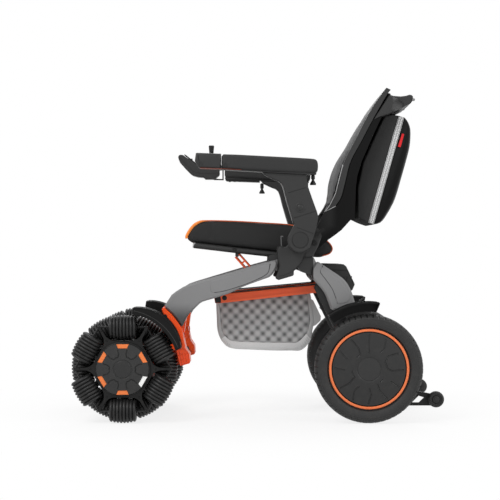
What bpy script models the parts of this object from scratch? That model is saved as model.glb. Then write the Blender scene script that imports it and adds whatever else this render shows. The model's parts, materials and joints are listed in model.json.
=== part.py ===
"""Folding power wheelchair.

Metres, +Z up, the ground at z = 0. The chair faces -X, its left side is at -Y, and the origin is under the
middle of its box. Side outlines are drawn in X and Z, as offsets from the fold pivot, from a wheel's axle or
from the rearmost point of the front tyre.
"""

import math

import bmesh
import bpy
from mathutils import Matrix, Vector

SIDES = {"left": -1.0, "right": 1.0}

# Clearances
TOUCH = 0.0003
RUN = 0.0005

# Where the chair stands and what the outlines start from
FRONT_AXLE_X = -0.3865
PIVOT_BEHIND_WHEEL = 0.2985
PIVOT_HEIGHT = 0.497
REAR_AXLE_SETBACK = 0.2505

# Front omni wheels
FRONT_WHEEL_RADIUS = 0.155
ROLLERS_PER_ROW = 6
ROLLER_LENGTH = 0.077
ROLLER_RADIUS = 0.0355
ROLLER_ROW_PITCH = 0.067
ROLLER_AXLE_RADIUS = 0.004
DRUM_GAP = 0.006
HUB_DRUM_RADIUS = FRONT_WHEEL_RADIUS - 2 * ROLLER_RADIUS - DRUM_GAP
STAR_THICKNESS = 0.008
STAR_ARM_WIDTH = 0.0064
STAR_SHOULDER = 0.0145
STAR_FLAT = HUB_DRUM_RADIUS + 0.0035
CAP_THICKNESS = 0.014
FRONT_AXLE_RADIUS = 0.010

# Rear wheels
REAR_WHEEL_RADIUS = 0.156
TYRE_WIDTH = 0.063
TYRE_INNER_RADIUS = 0.117
WHEEL_STEPS = 36
HUB_COVER_RADIUS = 0.106
HUB_COVER_THICKNESS = 0.010
REAR_AXLE_RADIUS = 0.011

# Layers across the width, from the middle of the chair outwards. Each takes its place from the one inside it.
SEAT_HALF_WIDTH = 0.183
BACK_ARM_GAP = 0.004
BACK_ARM_INNER_Y = SEAT_HALF_WIDTH + BACK_ARM_GAP
BACK_ARM_THICKNESS = 0.0155
ARM_GAP = 0.007
ARM_INNER_Y = SEAT_HALF_WIDTH + ARM_GAP
ARM_THICKNESS = 0.045
LUG_THICKNESS = 0.0135
LUG_GAP = 0.0015
REAR_PLATE_INNER_Y = ARM_INNER_Y + LUG_THICKNESS + LUG_GAP
REAR_PLATE_THICKNESS = 0.0195
PLATE_GAP = 0.002
HUB_PLATE_INNER_Y = REAR_PLATE_INNER_Y + REAR_PLATE_THICKNESS + PLATE_GAP
HUB_PLATE_THICKNESS = 0.0185
ARMREST_GAP = 0.0025
ARMREST_INNER_Y = HUB_PLATE_INNER_Y + HUB_PLATE_THICKNESS + ARMREST_GAP
ARMREST_THICKNESS = 0.040
FORK_INSET = 0.040
FORK_INNER_Y = ARM_INNER_Y - FORK_INSET
FORK_LEG_THICKNESS = 0.018
FORK_LEG_WIDTH = 0.044
REAR_FORK_THICKNESS = 0.0205
REAR_FORK_INNER_Y = ARM_INNER_Y - LUG_GAP - REAR_FORK_THICKNESS
STRUT_GAP = 0.004
STRUT_THICKNESS = 0.022
STRUT_INNER_Y = REAR_FORK_INNER_Y - STRUT_GAP - STRUT_THICKNESS
ROLLER_GAP = 0.004
ROLLER_OUTER_ROW_Y = FORK_INNER_Y + FORK_LEG_THICKNESS + ROLLER_GAP + ROLLER_RADIUS + ROLLER_ROW_PITCH
TYRE_GAP = 0.0085
REAR_WHEEL_Y = ARM_INNER_Y + ARM_THICKNESS + TYRE_GAP + TYRE_WIDTH / 2

# Pins
PIVOT_PIN_RADIUS = 0.006
PIVOT_BOSS_RADIUS = 0.0115
RECLINE_PIN_RADIUS = 0.008
ARMREST_PIN_RADIUS = 0.012
BOLT_RADIUS = 0.005

# Cross members
CROSS_TUBE_RADIUS = 0.016
FRONT_TUBE_RADIUS = 0.012

# Fenders
FRONT_FENDER_GAP = 0.016
FRONT_FENDER_CROWN = 0.0155
REAR_FENDER_GAP = 0.031
FENDER_THICKNESS = 0.005
FENDER_SIDE_GAP = 0.0035
FENDER_INNER_Y = ARM_INNER_Y + ARM_THICKNESS + FENDER_SIDE_GAP
FENDER_WIDTH = TYRE_WIDTH + 2 * FENDER_SIDE_GAP

# Soft parts, bags and their walls
BACK_HALF_WIDTH = SEAT_HALF_WIDTH - 0.003
SHELL_HALF_WIDTH = BACK_ARM_INNER_Y + BACK_ARM_THICKNESS
BACKPACK_HALF_WIDTH = SEAT_HALF_WIDTH - 0.023
BAG_GAP = 0.012
BAG_HALF_WIDTH = STRUT_INNER_Y - BAG_GAP
BAG_WALL = 0.005

# Anti-tip wheels
ANTI_TIP_RADIUS = 0.0235
ANTI_TIP_WIDTH = 0.022
ANTI_TIP_ARM_THICKNESS = 0.008
ANTI_TIP_GAP = 0.0035
ANTI_TIP_WHEEL_GAP = 0.001
ANTI_TIP_INNER_Y = REAR_FORK_INNER_Y + REAR_FORK_THICKNESS + ANTI_TIP_GAP + ANTI_TIP_ARM_THICKNESS
ANTI_TIP_Y = ANTI_TIP_INNER_Y + ANTI_TIP_WHEEL_GAP + ANTI_TIP_WIDTH / 2

# Battery
BATTERY_GAP = 0.018
BATTERY_HALF_WIDTH = REAR_FORK_INNER_Y - BATTERY_GAP
CASE_WALL = 0.004

# Anchors that the outlines start from
FRONT_AXLE = (FRONT_AXLE_X, FRONT_WHEEL_RADIUS)
WHEEL_BACK = (FRONT_AXLE_X + FRONT_WHEEL_RADIUS, FRONT_WHEEL_RADIUS)
PIVOT = (WHEEL_BACK[0] + PIVOT_BEHIND_WHEEL, PIVOT_HEIGHT)
REAR_AXLE = (PIVOT[0] + REAR_AXLE_SETBACK, REAR_WHEEL_RADIUS)


def clear_scene():
    for item in list(bpy.data.objects):
        bpy.data.objects.remove(item, do_unlink=True)


def material(name, colour, roughness, metallic=0.0):
    made = bpy.data.materials.get(name) or bpy.data.materials.new(name)
    made.use_nodes = True
    shader = made.node_tree.nodes["Principled BSDF"]
    shader.inputs["Base Color"].default_value = (*colour, 1.0)
    shader.inputs["Roughness"].default_value = roughness
    shader.inputs["Metallic"].default_value = metallic
    made.diffuse_color = (*colour, 1.0)
    return made


DARK_PLASTIC = ("dark_plastic", (0.035, 0.035, 0.036), 0.45)
GREY_PAINT = ("grey_paint", (0.24, 0.24, 0.24), 0.35, 0.2)
ORANGE_PAINT = ("orange_paint", (0.75, 0.10, 0.02), 0.35)
BLACK_RUBBER = ("black_rubber", (0.015, 0.015, 0.015), 0.75)
BLACK_METAL = ("black_metal", (0.02, 0.02, 0.02), 0.35, 0.6)
BLACK_FABRIC = ("black_fabric", (0.03, 0.03, 0.031), 0.85)
GREY_FABRIC = ("grey_fabric", (0.35, 0.35, 0.35), 0.85)


def moved(anchor, offsets):
    """Offsets in X and Z turned into places."""
    return [(anchor[0] + x, anchor[1] + z) for x, z in offsets]


def polar(centre, radius, degrees):
    angle = math.radians(degrees)
    return (centre[0] + radius * math.cos(angle), centre[1] + radius * math.sin(angle))


def arc(centre, radius, start, end, steps):
    """Points on an arc, angles in degrees from +X towards +Z."""
    return [polar(centre, radius, start + (end - start) * i / steps) for i in range(steps + 1)]


def smooth(points, steps=3):
    """An open Catmull-Rom curve through the points."""
    ends = [points[0], *points, points[-1]]
    curve = []
    for i in range(1, len(ends) - 2):
        before, start, end, after = (Vector(p) for p in ends[i - 1 : i + 3])
        for step in range(steps):
            t = step / steps
            curve.append(
                0.5
                * (
                    2 * start
                    + (end - before) * t
                    + (2 * before - 5 * start + 4 * end - after) * t**2
                    + (3 * start - before - 3 * end + after) * t**3
                )
            )
    return [tuple(p) for p in curve] + [points[-1]]


def rounded(points, radius, steps=3):
    """A closed outline with a fillet in each corner."""
    result = []
    for i, corner in enumerate(points):
        here = Vector(corner)
        back = Vector(points[i - 1]) - here
        ahead = Vector(points[(i + 1) % len(points)]) - here
        half = back.angle(ahead) / 2
        reach = min(radius / math.tan(half), 0.48 * back.length, 0.48 * ahead.length)
        start = here + back.normalized() * reach
        end = here + ahead.normalized() * reach
        for step in range(steps + 1):
            t = step / steps
            result.append(tuple((1 - t) ** 2 * start + 2 * t * (1 - t) * here + t**2 * end))
    return result


def bar(start, end, width, cap_steps=6):
    """The outline of a flat bar with round ends."""
    a, b = Vector(start), Vector(end)
    along = (b - a).normalized()
    turn = math.degrees(math.atan2(along.y, along.x))
    first = arc(end, width / 2, turn - 90, turn + 90, cap_steps)
    return first + arc(start, width / 2, turn + 90, turn + 270, cap_steps)


def prism(outline, y_from, y_to):
    """The outline in X and Z, extruded along Y."""
    low, high = sorted((y_from, y_to))
    mesh = bmesh.new()
    near = mesh.faces.new([mesh.verts.new((x, low, z)) for x, z in outline])
    made = bmesh.ops.extrude_face_region(mesh, geom=[near], use_keep_orig=True)
    far = [v for v in made["geom"] if isinstance(v, bmesh.types.BMVert)]
    bmesh.ops.translate(mesh, verts=far, vec=(0.0, high - low, 0.0))
    bmesh.ops.recalc_face_normals(mesh, faces=mesh.faces)
    return mesh


def skinned(rings):
    """A closed skin over rings that all have the same number of points."""
    mesh = bmesh.new()
    loops = [[mesh.verts.new(place) for place in ring] for ring in rings]
    for near, far in zip(loops, loops[1:]):
        for i in range(len(near)):
            j = (i + 1) % len(near)
            mesh.faces.new((near[i], near[j], far[j], far[i]))
    mesh.faces.new(loops[0])
    mesh.faces.new(loops[-1])
    bmesh.ops.triangulate(mesh, faces=[f for f in mesh.faces if len(f.verts) > 4])
    bmesh.ops.recalc_face_normals(mesh, faces=mesh.faces)
    return mesh


def turned(profile, centre, steps, start=0.0, closed=False):
    """Points of (radius, y), turned round the Y axis through centre."""
    mesh = bmesh.new()
    first = math.radians(start)
    verts = [mesh.verts.new((r * math.cos(first), y, r * math.sin(first))) for r, y in profile]
    pairs = list(zip(verts, verts[1:]))
    if closed:
        pairs.append((verts[-1], verts[0]))
    off_axis = [(a, b) for a, b in pairs if max(abs(v) for end in (a, b) for v in (end.co.x, end.co.z)) > 1e-6]
    edges = [mesh.edges.new(pair) for pair in off_axis]
    bmesh.ops.spin(
        mesh,
        geom=verts + edges,
        cent=(0.0, 0.0, 0.0),
        axis=(0.0, 1.0, 0.0),
        angle=math.tau,
        steps=steps,
    )
    bmesh.ops.remove_doubles(mesh, verts=mesh.verts, dist=1e-5)
    bmesh.ops.recalc_face_normals(mesh, faces=mesh.faces)
    bmesh.ops.translate(mesh, verts=mesh.verts, vec=(centre[0], 0.0, centre[1]))
    return mesh


def disc(centre, radius, y_from, y_to, steps=16, edge=0.0):
    """A round slab along Y, with its outer edge chamfered where edge is given."""
    low, high = sorted((y_from, y_to))
    profile = [(0.0, low), (radius - edge, low), (radius, low + edge), (radius, high - edge)]
    profile += [(radius - edge, high), (0.0, high)]
    if not edge:
        profile = [(0.0, low), (radius, low), (radius, high), (0.0, high)]
    return turned(profile, centre, steps)


def post(x, y, z_from, z_to, radius, steps=12):
    """A round bar along Z."""
    mesh = disc((0.0, 0.0), radius, z_from, z_to, steps)
    bmesh.ops.rotate(mesh, verts=mesh.verts, cent=(0, 0, 0), matrix=Matrix.Rotation(math.pi / 2, 3, "X"))
    bmesh.ops.translate(mesh, verts=mesh.verts, vec=(x, y, 0.0))
    return mesh


def block(low, high):
    """A box between two corners."""
    outline = [(low[0], low[2]), (high[0], low[2]), (high[0], high[2]), (low[0], high[2])]
    return prism(outline, low[1], high[1])


def rotate_about_y(mesh, centre, degrees):
    """Turns a mesh from +X towards +Z."""
    turn = Matrix.Rotation(-math.radians(degrees), 3, "Y")
    bmesh.ops.rotate(mesh, verts=mesh.verts, cent=(centre[0], 0.0, centre[1]), matrix=turn)
    return mesh


def new_object(name, mesh, origin):
    data = bpy.data.meshes.new(name)
    mesh.to_mesh(data)
    mesh.free()
    data.transform(Matrix.Translation(-Vector(origin)))
    item = bpy.data.objects.new(name, data)
    item.location = origin
    bpy.context.scene.collection.objects.link(item)
    return item


def part(name, mesh, finish, origin=(0.0, 0.0, 0.0), bevel=0.0, segments=1, add=(), cut=()):
    """One named solid. add holds meshes that join it and cut holds meshes that are taken away from it."""
    item = new_object(name, mesh, origin)
    item.data.materials.append(material(*finish))
    if bevel:
        edge = item.modifiers.new("edges", "BEVEL")
        edge.width = bevel
        edge.segments = segments
        edge.limit_method = "ANGLE"
        edge.angle_limit = math.radians(50)
    for operation, tools in (("UNION", add), ("DIFFERENCE", cut)):
        for i, tool in enumerate(tools):
            guide = new_object(f"{name}_{operation.lower()}_{i}", tool, origin)
            guide.hide_render = True
            guide.display_type = "WIRE"
            step = item.modifiers.new(guide.name, "BOOLEAN")
            step.operation = operation
            step.solver = "EXACT"
            step.object = guide
    item.data.shade_smooth()
    item.data.set_sharp_from_angle(angle=math.radians(35))
    return item


def span(side, inner, thickness):
    """The two Y places of a layer on one side of the chair."""
    return side * inner, side * (inner + thickness)


def at(point, y):
    return (point[0], y, point[1])


# Front frame

ARM_TOP = [(-0.283, -0.108), (-0.234, -0.092), (-0.184, -0.077), (-0.117, -0.057), (-0.039, -0.035)]
ARM_END = [(-0.013, -0.032), (-0.0095, -0.040), (-0.0155, -0.058), (-0.0245, -0.072), (-0.034, -0.080)]
ARM_BOTTOM = [(-0.068, -0.092), (-0.111, -0.108), (-0.151, -0.127), (-0.200, -0.143), (-0.227, -0.151)]
ARM_ELBOW = [(-0.240, -0.161), (-0.257, -0.178)]
ARM_FOOT = [(0.031, 0.154), (0.021, 0.137), (0.012, 0.116), (0.002, 0.132), (-0.016, 0.155)]
ARM_TOE = [(-0.04, 0.177), (-0.018, 0.211)]
LUG_FRONT = [(-0.0370, -0.0520), (-0.0345, -0.0165), (-0.0120, -0.0140)]
LUG_REAR = [(0.0115, -0.0120), (0.0060, -0.0600), (-0.0200, -0.0620)]
CROSS_TUBE_PLACE = (-0.080, -0.070)
FRONT_TUBE_PLACE = (-0.0345, 0.165)


def front_arm(name, side):
    """The grey arm from the hub down to the fork, with a lug round the fold pivot."""
    top = smooth([moved(WHEEL_BACK, ARM_TOE)[1], *moved(PIVOT, ARM_TOP + ARM_END[:1])], 2)
    bottom = smooth(moved(PIVOT, ARM_END[-1:] + ARM_BOTTOM + ARM_ELBOW) + moved(WHEEL_BACK, ARM_FOOT[:3]), 2)
    outline = top + moved(PIVOT, ARM_END[1:-1]) + bottom + moved(WHEEL_BACK, ARM_FOOT[3:] + ARM_TOE[:1])
    y_from, y_to = span(side, ARM_INNER_Y, ARM_THICKNESS)
    lug_from, lug_to = span(side, ARM_INNER_Y, LUG_THICKNESS)
    lug = moved(PIVOT, LUG_FRONT) + arc(PIVOT, PIVOT_BOSS_RADIUS, 180, 0, 8) + moved(PIVOT, LUG_REAR)
    bore = disc(PIVOT, PIVOT_PIN_RADIUS + RUN, side * (ARM_INNER_Y - 0.01), side * (ARM_INNER_Y + 0.03))
    part(
        f"front_arm_{name}",
        prism(outline, y_from, y_to),
        GREY_PAINT,
        bevel=0.005,
        add=[prism(lug, lug_from, lug_to)],
        cut=[bore],
    )


HUB_FRONT = [(-0.0085, -0.020), (-0.0092, -0.003), (-0.0065, 0.0060), (0.000, 0.0092), (0.0085, 0.0068)]
HUB_FRONT += [(0.0155, 0.0095), (0.029, 0.026), (0.043, 0.062), (0.110, 0.062)]
HUB_REAR = [(0.118, 0.039), (0.107, 0.008), (0.097, -0.010), (0.094, -0.0215)]
HUB_DISC_RADIUS = 0.0705
HUB_TAIL = [(0.037, -0.075), (-0.007, -0.088), (-0.0172, -0.083), (-0.0110, -0.070), (-0.0040, -0.050)]
RECLINE_PLACE = (0.096, 0.020)
ARMREST_PLACE = (0.054, 0.028)
LEVER_PLACE = (0.1045, 0.0455)
LEVER_POCKET = [(0.0935, 0.034), (0.135, 0.034), (0.135, 0.075), (0.0935, 0.075)]
LEVER_POCKET_DEPTH = 0.005


def hub_plate(name, side):
    """The dark plate beside the seat, with the three pins that the folding parts turn on."""
    outline = moved(PIVOT, HUB_FRONT + HUB_REAR) + arc(PIVOT, HUB_DISC_RADIUS, -18, -58, 5)
    outline += moved(PIVOT, HUB_TAIL)
    y_from, y_to = span(side, HUB_PLATE_INNER_Y, HUB_PLATE_THICKNESS)
    inside = HUB_PLATE_INNER_Y + 0.004
    recline, armrest = moved(PIVOT, [RECLINE_PLACE, ARMREST_PLACE])
    part(
        f"hub_plate_{name}",
        prism(outline, y_from, y_to),
        DARK_PLASTIC,
        bevel=0.003,
        add=[
            disc(PIVOT, PIVOT_PIN_RADIUS, side * inside, side * (ARM_INNER_Y + 0.001)),
            disc(recline, RECLINE_PIN_RADIUS, side * inside, side * (BACK_ARM_INNER_Y + 0.001)),
            disc(armrest, ARMREST_PIN_RADIUS, side * (y_to / side - 0.004), side * (ARMREST_INNER_Y + 0.022)),
        ],
        cut=[prism(moved(PIVOT, LEVER_POCKET), y_to - side * LEVER_POCKET_DEPTH, y_to + side * 0.01)],
    )


FORK_OUTER = [(-0.0412, 0.1762), (-0.0171, 0.1541), (0.0008, 0.1311), (0.0125, 0.1130), (0.016, 0.088)]
FORK_BOX = [(0.023, 0.055), (0.034, 0.040), (0.036, 0.013), (0.007, 0.005)]
FORK_INNER = [(-0.001, 0.049), (-0.008, 0.075), (-0.019, 0.110), (-0.039, 0.150), (-0.047, 0.170)]
FORK_LUG = [(-0.043, 0.176), (-0.005, 0.190), (0.025, 0.160), (0.017, 0.100), (-0.015, 0.120)]
FORK_KNEE = (0.013, 0.030)
FOOTPLATE_HINGE = (0.0095, 0.030)


def front_fork(name, side):
    """The orange bracket at the arm's foot, with its leg inside the wheel and the wheel's axle."""
    outline = moved(WHEEL_BACK, FORK_OUTER + FORK_BOX)
    outline += smooth(moved(WHEEL_BACK, FORK_INNER), 2)
    outer_y = ARM_INNER_Y + ARM_THICKNESS
    leg = bar(moved(WHEEL_BACK, [FORK_KNEE])[0], FRONT_AXLE, FORK_LEG_WIDTH, 8)
    axle_end = ROLLER_OUTER_ROW_Y - 0.012
    part(
        f"front_fork_{name}",
        prism(outline, side * FORK_INNER_Y, side * outer_y),
        ORANGE_PAINT,
        bevel=0.003,
        add=[
            prism(leg, *span(side, FORK_INNER_Y, FORK_LEG_THICKNESS)),
            prism(moved(WHEEL_BACK, FORK_LUG), side * FORK_INNER_Y, side * (ARM_INNER_Y - TOUCH)),
            disc(FRONT_AXLE, FRONT_AXLE_RADIUS, side * (FORK_INNER_Y + 0.002), side * axle_end),
        ],
    )


def cross_tube(name, place, radius, half_length):
    part(name, disc(place, radius, -half_length, half_length, 16), BLACK_METAL)


def fender(name, centre, radius, start, end, across, wall_depth, crown=0.0):
    """A curved guard, higher by crown half way along.

    across holds the y of the wall's two faces and of the other edge, or of the two faces of a second wall there.
    """
    wall_y, step_y, *lip_y, edge_y = across
    rings = []
    for i in range(11):
        turn = start + (end - start) * i / 10
        low = radius + crown * math.sin(math.pi * (i + 0.6) / 11.6)
        high = low + FENDER_THICKNESS
        section = [(high, edge_y), (high, wall_y), (radius - wall_depth, wall_y), (radius - wall_depth, step_y)]
        section += [(low, step_y)]
        if lip_y:
            section += [(low, lip_y[0]), (radius - wall_depth, lip_y[0]), (radius - wall_depth, edge_y)]
        else:
            section += [(low, edge_y)]
        corners = [(polar(centre, reach, turn), y) for reach, y in section]
        rings.append([(x, y, z) for (x, z), y in corners])
    part(name, skinned(rings), BLACK_RUBBER)


def front_fender(name, side):
    outer = ROLLER_OUTER_ROW_Y + ROLLER_RADIUS
    radius = FRONT_WHEEL_RADIUS + FRONT_FENDER_GAP
    inner = ARM_INNER_Y + ARM_THICKNESS + TOUCH
    across = [side * y for y in (outer - 0.0005, outer - 0.005, inner + 0.0035, inner)]
    fender(f"front_fender_{name}", FRONT_AXLE, radius, 20.0, 80.0, across, 0.009, FRONT_FENDER_CROWN)


# Front wheels


def roller_row(name, side, row):
    """Six barrel rollers on a ring of axles. The row behind lies half a step round."""
    y = side * (ROLLER_OUTER_ROW_Y - row * ROLLER_ROW_PITCH)
    pitch = 360.0 / ROLLERS_PER_ROW
    axle_distance = FRONT_WHEEL_RADIUS - ROLLER_RADIUS
    corner = 1.0 / math.cos(math.radians(pitch / 2))
    ring = [
        ((axle_distance + ROLLER_AXLE_RADIUS * math.cos(a)) * corner, ROLLER_AXLE_RADIUS * math.sin(a))
        for a in (math.tau * i / 6 for i in range(6))
    ]
    start = 90.0 + row * pitch / 2
    mesh = turned([(r, y + dy) for r, dy in ring], FRONT_AXLE, ROLLERS_PER_ROW, start + pitch / 2, True)
    barrels = bmesh.new()
    for i in range(ROLLERS_PER_ROW):
        roller = barrel()
        place_roller(roller, start + i * pitch, axle_distance, y)
        loose = bpy.data.meshes.new("roller")
        roller.to_mesh(loose)
        roller.free()
        barrels.from_mesh(loose)
        bpy.data.meshes.remove(loose)
    node = f"rollers_{'outer' if row == 0 else 'inner'}_{name}"
    part(node, mesh, BLACK_RUBBER, origin=at(FRONT_AXLE, y), add=[barrels])


def barrel():
    """One roller along Y, whose crown follows the wheel's own circle."""
    stations = [-0.5, -0.25, 0.0, 0.25, 0.5]
    profile = [(0.0, -ROLLER_LENGTH / 2)]
    for share in stations:
        reach = share * ROLLER_LENGTH
        drop = FRONT_WHEEL_RADIUS - math.sqrt(FRONT_WHEEL_RADIUS**2 - reach**2)
        profile.append((ROLLER_RADIUS - drop, reach))
    profile.append((0.0, ROLLER_LENGTH / 2))
    return turned(profile, (0.0, 0.0), 10, 90.0)


def place_roller(mesh, degrees, distance, y):
    """Lays a roller along the rim at the given angle."""
    bmesh.ops.rotate(mesh, verts=mesh.verts, cent=(0, 0, 0), matrix=Matrix.Rotation(math.pi / 2, 3, "Z"))
    bmesh.ops.translate(mesh, verts=mesh.verts, vec=(0.0, y, distance))
    rotate_about_y(mesh, (0.0, 0.0), degrees - 90.0)
    bmesh.ops.translate(mesh, verts=mesh.verts, vec=(FRONT_AXLE[0], 0.0, FRONT_AXLE[1]))


def star(centre, first, y):
    """A hexagonal plate whose corners run out as six arms between the rollers, to their axles."""
    tip = (FRONT_WHEEL_RADIUS - ROLLER_RADIUS) / math.cos(math.radians(180.0 / ROLLERS_PER_ROW))
    tip -= 3 * ROLLER_AXLE_RADIUS
    half = STAR_ARM_WIDTH / 2
    half_pitch = math.pi / ROLLERS_PER_ROW
    reach = (STAR_FLAT - STAR_SHOULDER * math.sin(half_pitch)) / math.cos(half_pitch)
    arm = [(reach, STAR_SHOULDER), (reach + 0.008, 0.0085), (reach + 0.018, half + 0.001), (tip, half)]
    outline = []
    for i in range(ROLLERS_PER_ROW):
        turn = Matrix.Rotation(math.radians(first + i * 360.0 / ROLLERS_PER_ROW), 2)
        ends = [(along, -across) for along, across in arm] + arm[::-1]
        outline += [tuple(Vector(centre) + turn @ Vector(end)) for end in ends]
    return prism(outline, y - STAR_THICKNESS / 2, y + STAR_THICKNESS / 2)


def omni_hub(name, side):
    """The drum that carries both rows, bored from its inner side for the axle."""
    inner = ROLLER_OUTER_ROW_Y - ROLLER_ROW_PITCH - ROLLER_RADIUS + 0.0035
    outer = ROLLER_OUTER_ROW_Y + 0.008
    bore_end = side * (ROLLER_OUTER_ROW_Y - 0.010)
    profile = [(0.0, inner), (0.030, inner), (0.034, inner + 0.004), (0.034, inner + 0.012)]
    profile += [(HUB_DRUM_RADIUS, inner + 0.018), (HUB_DRUM_RADIUS, outer), (0.0, outer)]
    drum = turned([(r, side * y) for r, y in profile], FRONT_AXLE, 24)
    part(
        f"omni_hub_{name}",
        drum,
        BLACK_METAL,
        origin=at(FRONT_AXLE, side * ROLLER_OUTER_ROW_Y),
        add=[
            star(FRONT_AXLE, 0.0, side * ROLLER_OUTER_ROW_Y),
            star(FRONT_AXLE, 30.0, side * (ROLLER_OUTER_ROW_Y - ROLLER_ROW_PITCH)),
        ],
        cut=[disc(FRONT_AXLE, FRONT_AXLE_RADIUS + RUN, side * (inner - 0.01), bore_end, 20)],
    )


def wheel_cap(name, side):
    face = ROLLER_OUTER_ROW_Y + 0.008 + TOUCH
    radius = HUB_DRUM_RADIUS - 0.001
    profile = [(0.0, face), (radius, face), (radius, face + CAP_THICKNESS / 2)]
    profile += [(radius - 0.005, face + CAP_THICKNESS), (0.026, face + CAP_THICKNESS)]
    profile += [(0.024, face + CAP_THICKNESS - 0.002), (0.0, face + CAP_THICKNESS - 0.002)]
    mesh = turned([(r, side * y) for r, y in profile], FRONT_AXLE, 24)
    part(f"front_wheel_cap_{name}", mesh, DARK_PLASTIC, origin=at(FRONT_AXLE, side * face))


# Seat

CUSHION_TOP = [(-0.266, 0.0235), (-0.277, 0.037), (-0.263, 0.063), (-0.245, 0.079), (-0.219, 0.086)]
CUSHION_BACK = [(-0.144, 0.085), (-0.055, 0.080), (0.040, 0.072), (0.103, 0.048), (0.138, 0.026)]
CUSHION_TAIL = [(0.153, 0.005), (0.145, -0.012), (0.123, -0.0195)]
PAN_TOP = [(-0.257, 0.0220), (0.093, -0.0190)]
PAN_THICKNESS = 0.014
PROP_PLACE = (-0.128, -0.006)
PROP_DROP = 0.011
PROP_FOOT = (-0.080, -0.071)
PROP_END_GAP = 0.0175
EAR_RADIUS = 0.0115
PAN_NECK_REACH = 0.033
PROP_INNER_Y = SEAT_HALF_WIDTH - 0.019
PROP_THICKNESS = 0.006
PROP_ROD_END = PROP_INNER_Y + PROP_THICKNESS + 0.0035


def seat_cushion():
    """A crowned pad: its top swells across the width, and its sides draw in at the bottom."""
    outline = smooth(moved(PIVOT, CUSHION_TOP + CUSHION_BACK + CUSHION_TAIL), 2)
    stations = [-1.0, -0.93, -0.70, -0.25, 0.25, 0.70, 0.93, 1.0]
    middle = Vector(moved(PIVOT, [(-0.060, 0.032)])[0])
    rings = []
    for station in stations:
        crown = 1.0 - 0.16 * abs(station) ** 3 if abs(station) < 1.0 else 0.66
        draw = 1.0 - 0.012 * abs(station) ** 4
        rings.append((station * SEAT_HALF_WIDTH, squeezed(outline, middle, crown, draw)))
    part("seat_cushion", lofted(rings), BLACK_FABRIC)


def squeezed(outline, middle, crown, draw):
    """The outline with its part above the bottom line pulled down, and its length pulled in."""
    a, b = (Vector(p) for p in moved(PIVOT, PAN_TOP))
    along = (b - a).normalized()
    result = []
    for point in outline:
        offset = Vector(point) - a
        run = offset.dot(along)
        rise = offset.dot(Vector((-along.y, along.x)))
        centre = (middle - a).dot(along)
        run = centre + (run - centre) * draw
        result.append(tuple(a + along * run + Vector((-along.y, along.x)) * rise * crown))
    return result


def lofted(rings):
    """A closed skin over outlines in planes across Y."""
    return skinned([[(x, y, z) for x, z in outline] for y, outline in rings])


def seat_pan():
    """The tray under the cushion, with an ear at each side that turns on the fold pivot's line."""
    a, b = moved(PIVOT, [(x, z - 0.0008) for x, z in PAN_TOP])
    low = [(x, z - PAN_THICKNESS) for x, z in (b, a)]
    ears = []
    for side in SIDES.values():
        inner, outer = SEAT_HALF_WIDTH + 0.0012, ARM_INNER_Y - 0.0010
        foot = moved(PIVOT, [(0.001, -0.0235)])[0]
        ears.append(prism(bar(foot, PIVOT, 2 * EAR_RADIUS), side * inner, side * outer))
        neck = (foot[0] - 0.009, side * (SEAT_HALF_WIDTH - PAN_NECK_REACH), foot[1] + 0.002)
        ears.append(block(neck, (foot[0] + 0.009, side * (outer - 0.002), foot[1] + 0.0085)))
    hinge = moved(PIVOT, [PROP_PLACE])[0]
    lug = [(hinge[0] - 0.0045, hinge[1] + 0.003), (hinge[0] + 0.0045, hinge[1] + 0.003)]
    lug += arc((hinge[0], hinge[1] - PROP_DROP), 0.0045, 0, -180, 6)
    for side in SIDES.values():
        ears.append(prism(lug, *span(side, PROP_ROD_END + RUN, 0.004)))
    part(
        "seat_pan",
        prism([a, b, *low], -SEAT_HALF_WIDTH + 0.002, SEAT_HALF_WIDTH - 0.002),
        BLACK_METAL,
        origin=at(PIVOT, 0.0),
        bevel=0.003,
        add=ears,
    )


PROP_WIDTH = 0.018
PROP_WINDOWS = 2
PROP_RAIL = 0.0042


def seat_prop():
    """The orange ladder links that hold the seat pan up from the cross tube, one at each side on a rod."""
    hinge, foot = moved(PIVOT, [(PROP_PLACE[0], PROP_PLACE[1] - PROP_DROP), PROP_FOOT])
    run = Vector(foot) - Vector(hinge)
    length = run.length - PROP_END_GAP
    turn = math.degrees(math.atan2(run.y, run.x))
    window = (length - (PROP_WINDOWS + 1) * PROP_RAIL) / PROP_WINDOWS
    add, cut = [], []
    for side in SIDES.values():
        y_from, y_to = span(side, PROP_INNER_Y, PROP_THICKNESS)
        rails = [(0.0, -PROP_WIDTH / 2), (length, -PROP_WIDTH / 2), (length, PROP_WIDTH / 2)]
        rails.append((0.0, PROP_WIDTH / 2))
        add.append(rotate_about_y(prism(moved(hinge, rails), y_from, y_to), hinge, turn))
        for i in range(PROP_WINDOWS):
            start = PROP_RAIL + i * (window + PROP_RAIL)
            low = (hinge[0] + start, y_from - side * 0.004, hinge[1] - PROP_WIDTH / 2 + PROP_RAIL)
            high = (hinge[0] + start + window, y_to + side * 0.005, hinge[1] + PROP_WIDTH / 2 - PROP_RAIL)
            cut.append(rotate_about_y(block(low, high), hinge, turn))
    rod = disc(hinge, BOLT_RADIUS, -PROP_ROD_END, PROP_ROD_END, 12)
    part("seat_prop", rod, ORANGE_PAINT, origin=at(hinge, 0.0), add=add, cut=cut)


# Footplate

FOOTPLATE_GAP = 0.015
FOOTPLATE_HALF_WIDTH = FORK_INNER_Y - FOOTPLATE_GAP
FOOTPLATE_LENGTH = 0.185
FOOTPLATE_DROP = 0.083
FOOTPLATE_THICKNESS = 0.010


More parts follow.
